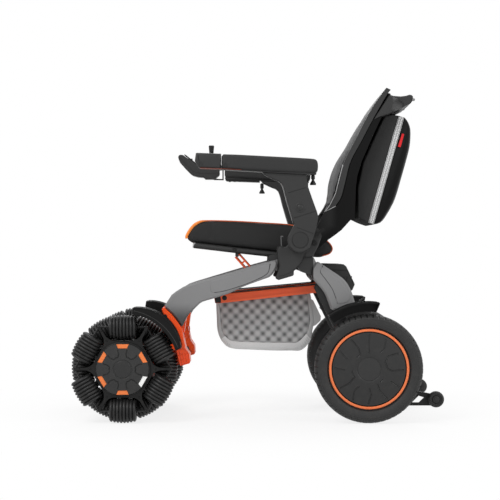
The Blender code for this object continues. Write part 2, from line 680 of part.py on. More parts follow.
def footplate():
    """The plate for the feet, on two cranked arms that swing up between the forks."""
    hinge = moved(WHEEL_BACK, [FOOTPLATE_HINGE])[0]
    rear = (hinge[0] - 0.042, hinge[1] - FOOTPLATE_DROP)
    front = (rear[0] - FOOTPLATE_LENGTH, rear[1] + 0.012)
    plate = [rear, (rear[0], rear[1] + FOOTPLATE_THICKNESS), (front[0], front[1] + FOOTPLATE_THICKNESS), front]
    arms = []
    for side in SIDES.values():
        shank = bar(hinge, (rear[0] - 0.006, rear[1] + FOOTPLATE_THICKNESS), 0.018)
        arms.append(prism(shank, side * (FOOTPLATE_HALF_WIDTH - 0.014), side * (FOOTPLATE_HALF_WIDTH - 0.002)))
        boss = disc(hinge, 0.009, side * (FOOTPLATE_HALF_WIDTH - 0.008), side * (FORK_INNER_Y - TOUCH))
        arms.append(boss)
    part(
        "footplate",
        prism(plate, -FOOTPLATE_HALF_WIDTH, FOOTPLATE_HALF_WIDTH),
        DARK_PLASTIC,
        origin=at(hinge, 0.0),
        bevel=0.003,
        add=arms,
    )


# Rear frame

REAR_ARM_TOP = [(0.110, -0.036), (0.128, -0.048), (0.155, -0.066), (0.178, -0.082), (0.193, -0.099)]
REAR_ARM_FOOT = [(-0.045, 0.217), (-0.035, 0.184), (-0.080, 0.169), (-0.104, 0.164), (-0.113, 0.190)]
REAR_ARM_FRONT = [(0.127, -0.126), (0.110, -0.104), (0.093, -0.086), (0.087, -0.071), (0.090, -0.054)]
REAR_PLATE = [(0.048, -0.050), (0.056, -0.063), (0.100, -0.079), (0.104, -0.040), (0.096, -0.024)]


def rear_arm(name, side):
    """The grey arm behind the hub, whose flat root plate turns on the fold pivot."""
    outline = smooth(moved(PIVOT, REAR_ARM_TOP) + moved(REAR_AXLE, REAR_ARM_FOOT[:2]), 2)
    outline += moved(REAR_AXLE, REAR_ARM_FOOT[2:3])
    outline += smooth(moved(REAR_AXLE, REAR_ARM_FOOT[3:]) + moved(PIVOT, REAR_ARM_FRONT), 2)
    outline += moved(PIVOT, [(0.103, -0.034)])
    root = arc(PIVOT, PIVOT_BOSS_RADIUS, 60, 300, 14) + moved(PIVOT, REAR_PLATE)
    plate_y = span(side, REAR_PLATE_INNER_Y, REAR_PLATE_THICKNESS)
    bore = disc(PIVOT, PIVOT_PIN_RADIUS + RUN, plate_y[0] - side * 0.01, plate_y[1] + side * 0.01)
    part(
        f"rear_arm_{name}",
        prism(outline, *span(side, ARM_INNER_Y, ARM_THICKNESS)),
        GREY_PAINT,
        bevel=0.005,
        add=[prism(root, *plate_y)],
        cut=[bore],
    )


ANTI_TIP_HINGE = (0.062, -0.060)
REAR_FORK_TOP = [(0.098, -0.112), (0.104, -0.098), (0.120, -0.090), (0.142, -0.108)]
REAR_FORK_LEG = [(-0.062, 0.150), (0.034, 0.026)]
REAR_FORK_SHIN = [(-0.032, -0.026), (-0.104, 0.130)]
STRUT_HINGE = (0.112, -0.111)


def rear_fork(name, side):
    """The black leg inside the rear arm, from the strut's hinge down to the axle."""
    hinge = moved(REAR_AXLE, [ANTI_TIP_HINGE])[0]
    lug = bar((REAR_AXLE[0] + 0.01, REAR_AXLE[1] - 0.01), hinge, 0.026)
    toe = arc(REAR_AXLE, 0.036, 40, -140, 8)
    outline = moved(PIVOT, REAR_FORK_TOP) + moved(REAR_AXLE, REAR_FORK_LEG[:1]) + toe
    outline += moved(REAR_AXLE, REAR_FORK_SHIN[1:])
    axle_end = REAR_WHEEL_Y + 0.004
    part(
        f"rear_fork_{name}",
        prism(outline, *span(side, REAR_FORK_INNER_Y, REAR_FORK_THICKNESS)),
        BLACK_METAL,
        bevel=0.002,
        add=[
            disc(REAR_AXLE, REAR_AXLE_RADIUS, side * (REAR_FORK_INNER_Y + 0.003), side * axle_end),
            prism(lug, *span(side, REAR_FORK_INNER_Y + 0.001, REAR_FORK_THICKNESS - 0.002)),
            disc(hinge, BOLT_RADIUS, side * (REAR_FORK_INNER_Y + 0.004), side * (ANTI_TIP_INNER_Y - 0.002), 12),
        ],
    )


def rear_fender(name, side):
    radius = REAR_WHEEL_RADIUS + REAR_FENDER_GAP
    across = [side * (FENDER_INNER_Y + y) for y in (0.0, 0.003, FENDER_WIDTH)]
    fender(f"rear_fender_{name}", REAR_AXLE, radius, 81.0, 127.0, across, 0.025)


CASE_OUTLINE = [(0.131, -0.042), (0.187, -0.043), (0.195, -0.050), (0.220, -0.102), (0.212, -0.121)]
CASE_BOTTOM = (0.133, -0.121)
CASE_EAR = (0.142, -0.095)
BAY = [(0.1545, -0.0545), (0.1545, -0.1145)]
PACK_REAR = [(0.2125, -0.1135), (0.2165, -0.1020), (0.1965, -0.0605), (0.1935, -0.0555)]
GRIP_HEIGHT = (-0.092, -0.080)


def battery_case():
    """The dark box between the rear arms, open at the back, where the battery slides in."""
    outline = rounded(moved(PIVOT, CASE_OUTLINE + [CASE_BOTTOM]), 0.006)
    (x, top), (_, bottom) = moved(PIVOT, BAY)
    half = BATTERY_HALF_WIDTH - 2 * CASE_WALL
    bay = block((x, -half, bottom), (x + 0.1, half, top))
    ear = moved(PIVOT, [CASE_EAR])[0]
    ears = [
        disc(ear, 0.008, side * (BATTERY_HALF_WIDTH - 0.006), side * (ARM_INNER_Y - TOUCH))
        for side in SIDES.values()
    ]
    body = prism(outline, -BATTERY_HALF_WIDTH, BATTERY_HALF_WIDTH)
    part("battery_case", body, DARK_PLASTIC, bevel=0.003, add=ears, cut=[bay])


def battery_pack():
    """The battery, whose back face lies flush with the case's and carries a finger ridge."""
    (x, top), (_, bottom) = moved(PIVOT, BAY)
    front = [(x + RUN, top - RUN), (x + RUN, bottom + RUN)]
    half = BATTERY_HALF_WIDTH - 2 * CASE_WALL - RUN
    body = prism(front + moved(PIVOT, PACK_REAR), -half, half)
    low, high = GRIP_HEIGHT
    ridge_from = (PIVOT[0] + 0.190, -0.040, PIVOT[1] + low)
    ridge_to = (PIVOT[0] + 0.2185, 0.040, PIVOT[1] + high)
    part("battery_pack", body, BLACK_METAL, origin=(x, 0.0, bottom), add=[block(ridge_from, ridge_to)])


ANTI_TIP_AXLE = (0.2005, -0.094)
TRUSS = [(0.150, -0.0715), (0.190, -0.0795), (0.208, -0.094), (0.190, -0.1135), (0.117, -0.1135)]
TRUSS_WINDOWS = [
    [(0.082, -0.0765), (0.1365, -0.0865), (0.1195, -0.1035)],
    [(0.132, -0.1045), (0.1515, -0.0850), (0.1680, -0.0900), (0.1530, -0.1045)],
]


def anti_tip_arm(name, side):
    """The small truss behind the rear fork that carries an anti-tip wheel."""
    hinge, axle = moved(REAR_AXLE, [ANTI_TIP_HINGE, ANTI_TIP_AXLE])
    inner = ANTI_TIP_INNER_Y
    y_pair = span(side, inner - ANTI_TIP_ARM_THICKNESS, ANTI_TIP_ARM_THICKNESS)
    outline = arc(hinge, 0.013, 60, 230, 8) + moved(REAR_AXLE, TRUSS[::-1])
    through = span(side, inner - ANTI_TIP_ARM_THICKNESS - 0.01, ANTI_TIP_ARM_THICKNESS + 0.02)
    windows = [prism(moved(REAR_AXLE, w), *through) for w in TRUSS_WINDOWS]
    pin = disc(axle, 0.004, side * (inner - 0.004), side * (ANTI_TIP_Y + ANTI_TIP_WIDTH / 2 - 0.003), 12)
    part(
        f"anti_tip_arm_{name}",
        prism(outline, *y_pair),
        BLACK_METAL,
        origin=at(hinge, side * inner),
        add=[pin],
        cut=[*windows, disc(hinge, BOLT_RADIUS + RUN, *through, 12)],
    )


def anti_tip_wheel(name, side):
    axle = moved(REAR_AXLE, [ANTI_TIP_AXLE])[0]
    inner = ANTI_TIP_Y - ANTI_TIP_WIDTH / 2
    outer = inner + ANTI_TIP_WIDTH
    bore = 0.004 + RUN
    edge = 0.004
    profile = [(bore, inner), (ANTI_TIP_RADIUS - edge, inner), (ANTI_TIP_RADIUS, inner + edge)]
    profile += [(ANTI_TIP_RADIUS, outer - edge), (ANTI_TIP_RADIUS - edge, outer), (0.0, outer)]
    profile += [(0.0, outer - 0.002), (bore, outer - 0.002), (bore, inner)]
    mesh = turned([(r, side * y) for r, y in profile], axle, 20)
    part(f"anti_tip_wheel_{name}", mesh, BLACK_RUBBER, origin=at(axle, side * ANTI_TIP_Y))


def rear_tyre(name, side):
    half = TYRE_WIDTH / 2
    wall = REAR_WHEEL_RADIUS - TYRE_INNER_RADIUS
    shape = [(0.0, -0.66), (0.25, -0.95), (0.55, -1.0), (0.85, -0.78), (1.0, -0.30)]
    profile = [(TYRE_INNER_RADIUS + wall * r, REAR_WHEEL_Y + half * y) for r, y in shape]
    profile += [(r, 2 * REAR_WHEEL_Y - y) for r, y in reversed(profile)]
    mesh = turned([(r, side * y) for r, y in profile], REAR_AXLE, WHEEL_STEPS, closed=True)
    part(f"rear_tyre_{name}", mesh, BLACK_RUBBER, origin=at(REAR_AXLE, side * REAR_WHEEL_Y))


def hub_motor(name, side):
    """The wheel's own motor and rim, bored from its inner side for the fixed axle."""
    rim = TYRE_INNER_RADIUS - TOUCH
    inner, outer = REAR_WHEEL_Y - TYRE_WIDTH * 0.34, REAR_WHEEL_Y + TYRE_WIDTH * 0.33
    face = REAR_WHEEL_Y - TYRE_WIDTH / 2 - 0.003
    bore = REAR_AXLE_RADIUS + RUN
    seat = outer - HUB_COVER_THICKNESS + 0.002
    profile = [(bore, face), (0.060, face), (0.095, inner + 0.004), (rim - 0.004, inner), (rim, inner + 0.004)]
    profile += [(rim, outer), (HUB_COVER_RADIUS + 0.001, outer), (HUB_COVER_RADIUS + 0.001, seat), (0.0, seat)]
    profile += [(0.0, seat - 0.003), (bore, seat - 0.003), (bore, face)]
    mesh = turned([(r, side * y) for r, y in profile], REAR_AXLE, WHEEL_STEPS)
    part(f"hub_motor_{name}", mesh, BLACK_METAL, origin=at(REAR_AXLE, side * REAR_WHEEL_Y))


def hub_cover(name, side):
    outer = REAR_WHEEL_Y + TYRE_WIDTH * 0.33
    face = outer - HUB_COVER_THICKNESS + 0.002 + TOUCH
    top = face + HUB_COVER_THICKNESS
    profile = [(0.0, face), (HUB_COVER_RADIUS, face), (HUB_COVER_RADIUS, top - 0.004)]
    profile += [(HUB_COVER_RADIUS - 0.005, top - 0.002), (0.036, top + 0.003), (0.034, top + 0.002)]
    profile.append((0.0, top + 0.002))
    mesh = turned([(r, side * y) for r, y in profile], REAR_AXLE, WHEEL_STEPS)
    part(f"hub_cover_{name}", mesh, DARK_PLASTIC, origin=at(REAR_AXLE, side * face))


# Side struts and the bag that hangs from them

STRUT_OUTLINE = [(-0.195, -0.141), (-0.192, -0.158), (-0.151, -0.155), (0.106, -0.127), (0.124, -0.119)]
STRUT_TOP = [(0.123, -0.099), (0.102, -0.104), (-0.151, -0.128)]
STRUT_PANELS = [(0.012, 0.095), (-0.073, 0.008), (-0.150, -0.077)]


def side_strut(name, side):
    """The orange rail between the arms. It turns on the rear fork, and its front end runs free."""
    y_from, y_to = span(side, STRUT_INNER_Y, STRUT_THICKNESS)
    hinge = moved(PIVOT, [STRUT_HINGE])[0]
    recesses = []
    for start, end in STRUT_PANELS:
        low = [(start, strut_line(start) - 0.006), (end, strut_line(end) - 0.006)]
        high = [(end, strut_line(end) + 0.006), (start, strut_line(start) + 0.006)]
        panel = moved(PIVOT, low + high)
        recesses.append(prism(panel, y_to - side * 0.003, y_to + side * 0.004))
    pin = disc(hinge, BOLT_RADIUS, side * (STRUT_INNER_Y + 0.004), side * (REAR_FORK_INNER_Y - TOUCH), 12)
    part(
        f"side_strut_{name}",
        prism(moved(PIVOT, STRUT_OUTLINE + STRUT_TOP), y_from, y_to),
        ORANGE_PAINT,
        origin=at(hinge, side * STRUT_INNER_Y),
        bevel=0.002,
        add=[pin],
        cut=recesses,
    )


def strut_line(x):
    """Height of the strut's middle line over the run from its front bolt to its rear one."""
    front, rear = (-0.164, -0.143), STRUT_HINGE
    return front[1] + (rear[1] - front[1]) * (x - front[0]) / (rear[0] - front[0])


BAG_OUTLINE = [(-0.190, -0.160), (-0.185, -0.241), (-0.172, -0.271), (-0.145, -0.291), (-0.017, -0.298)]
BAG_REAR = [(0.062, -0.297), (0.088, -0.270), (0.100, -0.200), (0.088, -0.131)]


def storage_bag():
    """The quilted bag that hangs between the struts, open at its top."""
    outline = moved(PIVOT, BAG_OUTLINE + BAG_REAR)
    inside = shrunk(outline, BAG_WALL)
    top = [(x, z + 0.03) for x, z in (inside[0], inside[-1])]
    hollow = prism([top[0], *inside, top[1]], -BAG_HALF_WIDTH + BAG_WALL, BAG_HALF_WIDTH - BAG_WALL)
    part("storage_bag", prism(outline, -BAG_HALF_WIDTH, BAG_HALF_WIDTH), GREY_FABRIC, cut=[hollow])


def shrunk(outline, wall):
    """The outline drawn in by the wall, towards its own middle."""
    low_x, high_x = min(p[0] for p in outline), max(p[0] for p in outline)
    low_z, high_z = min(p[1] for p in outline), max(p[1] for p in outline)
    middle = ((low_x + high_x) / 2, (low_z + high_z) / 2)
    scale_x = 1 - 2 * wall / (high_x - low_x)
    scale_z = 1 - 2 * wall / (high_z - low_z)
    return [(middle[0] + (x - middle[0]) * scale_x, middle[1] + (z - middle[1]) * scale_z) for x, z in outline]


# Armrests

POST_FRONT = [(-0.056, 0.223), (-0.044, 0.211), (-0.018, 0.199), (0.003, 0.186), (0.017, 0.138), (0.037, 0.072)]
POST_FOOT = [(0.096, 0.048), (0.105, 0.088), (0.102, 0.109), (0.076, 0.182), (0.073, 0.217)]
POST_BOSS_RADIUS = 0.036
PAD_OUTLINE = [(-0.172, 0.274), (0.105, 0.2595), (0.103, 0.2180), (-0.04, 0.2238), (-0.172, 0.231)]
RAIL_OUTLINE = [(-0.1686, 0.2325), (-0.0580, 0.2265), (-0.0580, 0.2165), (-0.1640, 0.2205), (-0.1686, 0.2240)]
RAIL_INSET = 0.0055
PAD_INNER_Y = ARMREST_INNER_Y - 0.0075
PAD_WIDTH = 0.060
MODULE_OUTLINE = [(-0.245, 0.2765), (-0.1725, 0.2741), (-0.1725, 0.2310), (-0.234, 0.233), (-0.247, 0.252)]


def armrest_post(name, side):
    """The curved post that turns on the hub plate's upper pin, with its bore open on the inside."""
    boss = moved(PIVOT, [ARMREST_PLACE])[0]
    outline = smooth(moved(PIVOT, POST_FRONT), 2) + arc(boss, POST_BOSS_RADIUS, 165, 320, 9)
    outline += smooth(moved(PIVOT, POST_FOOT), 2)
    y_from, y_to = span(side, ARMREST_INNER_Y, ARMREST_THICKNESS)
    bore = disc(boss, ARMREST_PIN_RADIUS + RUN, y_from - side * 0.01, y_from + side * 0.0235)
    part(
        f"armrest_post_{name}",
        prism(outline, y_from, y_to),
        DARK_PLASTIC,
        origin=at(boss, y_from),
        bevel=0.005,
        cut=[bore],
    )


def arm_pad(name, side):
    """The pad on the post. The right one has the controller's sliding rail along its underside."""
    outline = rounded(moved(PIVOT, PAD_OUTLINE), 0.010, 3)
    y_from, y_to = span(side, PAD_INNER_Y, PAD_WIDTH)
    rail = prism(moved(PIVOT, RAIL_OUTLINE), *span(side, PAD_INNER_Y + RAIL_INSET, PAD_WIDTH - 2 * RAIL_INSET))
    add = [rail] if name == "right" else []
    part(f"arm_pad_{name}", prism(outline, y_from, y_to), BLACK_FABRIC, bevel=0.008, add=add)


def arm_module(side):
    outline = rounded(moved(PIVOT, MODULE_OUTLINE), 0.006, 3)
    part("arm_module_left", prism(outline, *span(side, PAD_INNER_Y, PAD_WIDTH)), DARK_PLASTIC, bevel=0.004)


def clamp_knob(name, side, offset, length):
    """A cone-shaped thumb knob at the end of a collared stem."""
    x, z = moved(PIVOT, [offset])[0]
    y = side * (PAD_INNER_Y + 0.012)
    shape = [(0.0, -length), (KNOB_RADIUS, -length), (KNOB_RADIUS, 0.004 - length), (0.0035, 0.0135 - length)]
    shape += [(0.0035, 0.0155 - length), (0.0055, 0.0165 - length), (0.0055, -0.004), (0.0035, -0.002)]
    mesh = turned([*shape, (0.0035, 0.0), (0.0, 0.0)], (0.0, 0.0), 8)
    lay_flat(mesh, (x, y, z))
    part(name, mesh, BLACK_RUBBER, origin=(x, y, z))


KNOB_RADIUS = 0.0095
KNOB_REAR = (0.092, 0.2165)
KNOB_REAR_LENGTH = 0.0305
KNOB_FRONT = (-0.051, 0.2140)
KNOB_FRONT_LENGTH = 0.034
CONTROLLER_BOTTOM = [(-0.3205, 0.2985), (-0.3180, 0.2890), (-0.3135, 0.2785), (-0.2965, 0.2595), (-0.2820, 0.2447)]
CONTROLLER_BOTTOM += [(-0.2732, 0.2385), (-0.2583, 0.2342), (-0.2362, 0.2318), (-0.2358, 0.2266), (-0.2030, 0.2266)]
CONTROLLER_REAR = [(-0.1870, 0.2410), (-0.1880, 0.2570), (-0.1725, 0.2570)]
CONTROLLER_TOP = [(-0.1725, 0.2705), (-0.2600, 0.2715), (-0.3040, 0.3035), (-0.3150, 0.3050)]
BRACKET = [(-0.2060, 0.2290), (-0.1785, 0.2280), (-0.1785, 0.2585), (-0.1745, 0.2585), (-0.1745, 0.2240)]
BRACKET_FOOT = (-0.2060, 0.2245)
CONTROLLER_INNER_Y = PAD_INNER_Y - 0.004
CONTROLLER_WIDTH = 0.068
STICK_PLACE = (-0.214, 0.262)
STICK_HEIGHT = 0.074
GIMBAL_RADIUS = 0.013


def controller(side):
    """The drive controller with its raised display, hollowed under the stick, and its bent bracket."""
    well = moved(PIVOT, [STICK_PLACE])[0]
    y = side * (CONTROLLER_INNER_Y + CONTROLLER_WIDTH / 2)
    cup = post(well[0], y, well[1] - 0.016, well[1] + 0.03, GIMBAL_RADIUS + 0.006, 16)
    outline = moved(PIVOT, CONTROLLER_BOTTOM + CONTROLLER_REAR + CONTROLLER_TOP)
    body = prism(outline, *span(side, CONTROLLER_INNER_Y, CONTROLLER_WIDTH))
    bracket = prism(moved(PIVOT, [*BRACKET, BRACKET_FOOT]), y - 0.003, y + 0.003)
    part("controller", body, DARK_PLASTIC, bevel=0.003, add=[bracket], cut=[cup])


def joystick(side):
    """The stick and the ring it tilts in."""
    x, z = moved(PIVOT, [STICK_PLACE])[0]
    y = side * (CONTROLLER_INNER_Y + CONTROLLER_WIDTH / 2)
    ring = [(0.0095, -0.003), (GIMBAL_RADIUS, -0.003), (GIMBAL_RADIUS, 0.003), (0.0095, 0.003)]
    mesh = turned(ring, (0.0, 0.0), 16, closed=True)
    lay_flat(mesh, (x, y, z))
    part("joystick_gimbal", mesh, BLACK_METAL, origin=(x, y, z))
    shape = [(0.0, -0.009), (0.007, -0.006), (0.0085, 0.0), (0.007, 0.006), (0.0045, 0.012), (0.0045, 0.046)]
    shape += [(0.0065, 0.049), (0.0085, 0.070), (0.0075, STICK_HEIGHT), (0.0, STICK_HEIGHT)]
    mesh = turned([(r, h) for r, h in shape], (0.0, 0.0), 14)
    lay_flat(mesh, (x, y, z))
    part("joystick", mesh, BLACK_RUBBER, origin=(x, y, z))


def lay_flat(mesh, place):
    """Turns a shape made round Y so that it stands round Z at a place."""
    bmesh.ops.rotate(mesh, verts=mesh.verts, cent=(0, 0, 0), matrix=Matrix.Rotation(math.pi / 2, 3, "X"))
    bmesh.ops.translate(mesh, verts=mesh.verts, vec=place)


# Backrest

BACK_FRONT = [(0.272, 0.426), (0.236, 0.370), (0.207, 0.319), (0.177, 0.272), (0.159, 0.233), (0.147, 0.197)]
BACK_LOWER = [(0.143, 0.173), (0.135, 0.138), (0.118, 0.105)]
SHELL_REAR = [(0.321, 0.466), (0.309, 0.450), (0.269, 0.380), (0.236, 0.317), (0.204, 0.257), (0.189, 0.197)]
SHELL_LOWER = [(0.177, 0.153), (0.160, 0.127)]
SHELL_TOP = (0.308, 0.472)
BACK_FLOOR = [(0.085, 0.085), (0.136, 0.100)]
FRAME_REAR = [(0.300, 0.399), (0.236, 0.257), (0.219, 0.182), (0.216, 0.090), (0.204, 0.087), (0.177, 0.057)]
FRAME_FOOT = [(0.139, 0.029)]
FRAME_FRONT = [(0.103, 0.062), (0.128, 0.110)]


def back_line():
    """The front line of the backrest, from its top down."""
    return smooth(moved(PIVOT, [SHELL_TOP, *BACK_FRONT, *BACK_LOWER]), 2)


def shell_line():
    return smooth(moved(PIVOT, SHELL_REAR + SHELL_LOWER), 2)


def between(front, rear, share):
    """Places part of the way from each point of one line to the nearest point of another."""
    result = []
    for point in front:
        here = Vector(point)
        options = [nearest(here, Vector(a), Vector(b)) for a, b in zip(rear, rear[1:])]
        there = min(options, key=lambda p: (p - here).length)
        result.append(tuple(here.lerp(there, share)))
    return result


def nearest(point, a, b):
    t = max(0.0, min(1.0, (point - a).dot(b - a) / (b - a).length_squared))
    return a.lerp(b, t)


def back_cushion():
    """A crowned pad: thickest in the middle of the back, thin at its edges."""
    front = back_line()[3:]
    rings = []
    for station in (-1.0, -0.92, -0.66, -0.22, 0.22, 0.66, 0.92, 1.0):
        crown = 0.20 * abs(station) ** 3 if abs(station) < 1.0 else 0.34
        face = between(front, shell_line(), crown)
        back = between(front, shell_line(), 0.52)
        rings.append((station * BACK_HALF_WIDTH, face + back[::-1]))
    part("back_cushion", lofted(rings), BLACK_FABRIC)


def back_shell():
    """The dark tray behind the back cushion, with a rim that wraps its sides."""
    rear = shell_line()
    outline = back_line() + rear[::-1]
    front, back = between(back_line(), rear, -0.6), between(back_line(), rear, 0.58)
    room = front[2:] + moved(PIVOT, BACK_FLOOR) + back[:1:-1]
    inner = BACK_HALF_WIDTH + 0.002
    part(
        "back_shell",
        prism(outline, -SHELL_HALF_WIDTH, SHELL_HALF_WIDTH),
        DARK_PLASTIC,
        cut=[prism(room, -inner, inner)],
    )


def back_frame():
    """The black frame behind the shell, whose two lower arms turn on the hub plates' rear pins."""
    recline = moved(PIVOT, [RECLINE_PLACE])[0]
    shell = [(x + 0.0012, z - 0.0008) for x, z in shell_line()[4:]]
    rear = smooth(moved(PIVOT, FRAME_REAR + FRAME_FOOT), 2)
    outline = rear + arc(recline, 0.022, -40, -200, 8) + moved(PIVOT, FRAME_FRONT) + shell[::-1]
    (low_x, low_z), (high_x, high_z) = moved(PIVOT, [(-0.1, -0.1), (0.35, 0.112)])
    gap = block((low_x, -BACK_ARM_INNER_Y, low_z), (high_x, BACK_ARM_INNER_Y, high_z))
    outer = BACK_ARM_INNER_Y + BACK_ARM_THICKNESS
    bores = []
    for side in SIDES.values():
        through = (side * (outer + 0.01), side * (BACK_ARM_INNER_Y - 0.01))
        bores.append(disc(recline, RECLINE_PIN_RADIUS + RUN, *through))
    part(
        "back_frame",
        prism(outline, -outer, outer),
        BLACK_METAL,
        origin=at(recline, 0.0),
        cut=[gap, *bores],
    )


HANDLE_TOP = [(0.3225, 0.4640), (0.3262, 0.4562), (0.3335, 0.4540), (0.3545, 0.4522), (0.3700, 0.4540)]
HANDLE_TIP = [(0.3815, 0.4575), (0.3878, 0.4562), (0.3920, 0.4515), (0.3905, 0.4400), (0.3855, 0.4325)]
HANDLE_UNDER = [(0.3645, 0.4218), (0.3480, 0.4125), (0.3276, 0.4065), (0.3180, 0.4035), (0.3025, 0.4008)]
HANDLE_ROOT = [(0.2921, 0.4194), (0.3097, 0.4495), (0.3183, 0.4619)]
HANDLE_HALF_WIDTH = SHELL_HALF_WIDTH - 0.0525
SLOT_HALF_WIDTH = HANDLE_HALF_WIDTH - 0.070


def push_handle():
    """The grip shelf at the top of the back, with a slot for the fingers."""
    (low_x, low_z), (high_x, high_z) = moved(PIVOT, [(0.330, 0.35), (0.368, 0.50)])
    slot = block((low_x, -SLOT_HALF_WIDTH, low_z), (high_x, SLOT_HALF_WIDTH, high_z))
    outline = moved(PIVOT, HANDLE_TOP + HANDLE_TIP + HANDLE_UNDER + HANDLE_ROOT)
    body = prism(outline, -HANDLE_HALF_WIDTH, HANDLE_HALF_WIDTH)
    part("push_handle", body, DARK_PLASTIC, bevel=0.004, cut=[slot])


PACK_FRONT = [(0.2275, 0.0920), (0.2275, 0.182), (0.2440, 0.257), (0.3000, 0.3800), (0.305, 0.391)]
PACK_BACK = [(0.329, 0.399), (0.366, 0.388), (0.384, 0.364), (0.387, 0.343), (0.384, 0.304), (0.360, 0.214)]
PACK_BOTTOM = [(0.336, 0.139), (0.314, 0.100), (0.297, 0.079), (0.276, 0.074), (0.250, 0.083)]


def backpack():
    outline = moved(PIVOT, PACK_FRONT + PACK_BACK + PACK_BOTTOM)
    part(
        "backpack",
        prism(outline, -BACKPACK_HALF_WIDTH, BACKPACK_HALF_WIDTH),
        BLACK_FABRIC,
        bevel=0.012,
    )


def recline_lever():
    """The small lever in the left hub plate's pocket, above the recline pin."""
    x, z = moved(PIVOT, [LEVER_PLACE])[0]
    y_from = -(HUB_PLATE_INNER_Y + HUB_PLATE_THICKNESS - LEVER_POCKET_DEPTH + TOUCH)
    y_to = y_from - LEVER_POCKET_DEPTH
    blade = prism(bar((x, z), (x + 0.018, z + 0.012), 0.007, 4), y_from, y_to)
    boss = disc((x, z), 0.0065, y_from, y_to, 12)
    part("recline_lever", boss, ORANGE_PAINT, origin=(x, y_from, z), add=[blade])


def build():
    clear_scene()
    for name, side in SIDES.items():
        front_arm(name, side)
        hub_plate(name, side)
        front_fork(name, side)
        front_fender(name, side)
        roller_row(name, side, 0)
        roller_row(name, side, 1)
        omni_hub(name, side)
        wheel_cap(name, side)
        rear_arm(name, side)
        rear_fork(name, side)
        rear_fender(name, side)
        rear_tyre(name, side)
        hub_motor(name, side)
        hub_cover(name, side)
        anti_tip_arm(name, side)
        anti_tip_wheel(name, side)
        side_strut(name, side)
        armrest_post(name, side)
        arm_pad(name, side)
        clamp_knob(f"pad_knob_{name}", side, KNOB_REAR, KNOB_REAR_LENGTH)
    main_place, front_place = moved(PIVOT, [CROSS_TUBE_PLACE])[0], moved(WHEEL_BACK, [FRONT_TUBE_PLACE])[0]
    cross_tube("main_cross_tube", main_place, CROSS_TUBE_RADIUS, ARM_INNER_Y - TOUCH)
    cross_tube("front_cross_tube", front_place, FRONT_TUBE_RADIUS, FORK_INNER_Y - TOUCH)
    seat_cushion()
    seat_pan()
    seat_prop()
    footplate()
    battery_case()
    battery_pack()
    storage_bag()
    arm_module(SIDES["left"])
    clamp_knob("bar_knob", SIDES["right"], KNOB_FRONT, KNOB_FRONT_LENGTH)
    controller(SIDES["right"])
    joystick(SIDES["right"])
    back_frame()
    back_shell()
    back_cushion()
    push_handle()
    backpack()
    recline_lever()


build()
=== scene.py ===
# %% [markdown]
# # A folding power wheelchair
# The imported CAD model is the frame: every shape that moves or carries load is already there, in metres.
# Each later cell dresses it, either by giving a CAD node a better finish or by building a piece that
# stands for it. Pieces ride on the CAD's bodies, so they move when the chair folds.

# %% Load the frame
import json
import math

import bmesh
import bpy
from mathutils import Matrix, Vector


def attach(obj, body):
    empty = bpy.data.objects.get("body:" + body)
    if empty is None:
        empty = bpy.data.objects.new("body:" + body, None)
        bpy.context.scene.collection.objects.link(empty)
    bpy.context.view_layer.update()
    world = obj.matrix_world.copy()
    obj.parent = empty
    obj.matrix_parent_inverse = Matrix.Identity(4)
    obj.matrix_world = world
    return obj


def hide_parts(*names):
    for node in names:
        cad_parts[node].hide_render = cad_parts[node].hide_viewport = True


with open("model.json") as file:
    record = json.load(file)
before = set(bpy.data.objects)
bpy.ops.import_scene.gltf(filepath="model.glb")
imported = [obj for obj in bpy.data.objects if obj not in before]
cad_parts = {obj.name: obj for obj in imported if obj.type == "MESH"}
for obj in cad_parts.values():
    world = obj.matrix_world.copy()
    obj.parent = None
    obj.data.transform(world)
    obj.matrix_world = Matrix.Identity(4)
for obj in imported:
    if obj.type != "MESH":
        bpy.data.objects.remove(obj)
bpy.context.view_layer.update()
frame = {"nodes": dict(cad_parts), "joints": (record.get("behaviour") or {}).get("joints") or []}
NODES = frame["nodes"]
JOINTS = {joint["name"]: joint for joint in frame["joints"]}
SIDES = {"left": -1.0, "right": 1.0}

# %% [markdown]
# Side outlines are drawn as offsets in X and Z from a hinge or an axle. The hinges come from the joints,
# so a piece stays with its hinge if the CAD model changes.

# %% Anchors


def hinge(name):
    x, _, z = JOINTS[name]["pos_m"]
    return (x, z)


PIVOT = hinge("rear_fold")
FRONT_AXLE = hinge("front_wheel_left_spin")
REAR_AXLE = hinge("rear_wheel_left_spin")


def moved(anchor, offsets):
    return [(anchor[0] + x, anchor[1] + z) for x, z in offsets]


def at_pivot(x, z):
    return (PIVOT[0] + x, PIVOT[1] + z)


def near_pivot(*offsets):
    return moved(PIVOT, offsets)


def polar(centre, radius, degrees):
    angle = math.radians(degrees)
    return (centre[0] + radius * math.cos(angle), centre[1] + radius * math.sin(angle))


def arc(centre, radius, start, end, steps):
    return [polar(centre, radius, start + (end - start) * i / steps) for i in range(steps + 1)]


print("pivot", PIVOT, "axles", FRONT_AXLE, REAR_AXLE)

# %% [markdown]
# A few helpers cover most shapes on the chair. An outline pushed through the width gives plates and arms,
# a profile spun round an axle gives wheels and bolts, and a circle swept along a path gives tubes, piping
# and cables. They return a bmesh, so several can be joined before they become one object.

# %% Mesh helpers


def slab(outline, y_from, y_to):
    """An outline in X and Z, extruded along Y."""
    low, high = sorted((y_from, y_to))
    mesh = bmesh.new()
    near = mesh.faces.new([mesh.verts.new((x, low, z)) for x, z in outline])
    made = bmesh.ops.extrude_face_region(mesh, geom=[near], use_keep_orig=True)
    far = [v for v in made["geom"] if isinstance(v, bmesh.types.BMVert)]
    bmesh.ops.translate(mesh, verts=far, vec=(0.0, high - low, 0.0))
    bmesh.ops.recalc_face_normals(mesh, faces=mesh.faces)
    return mesh


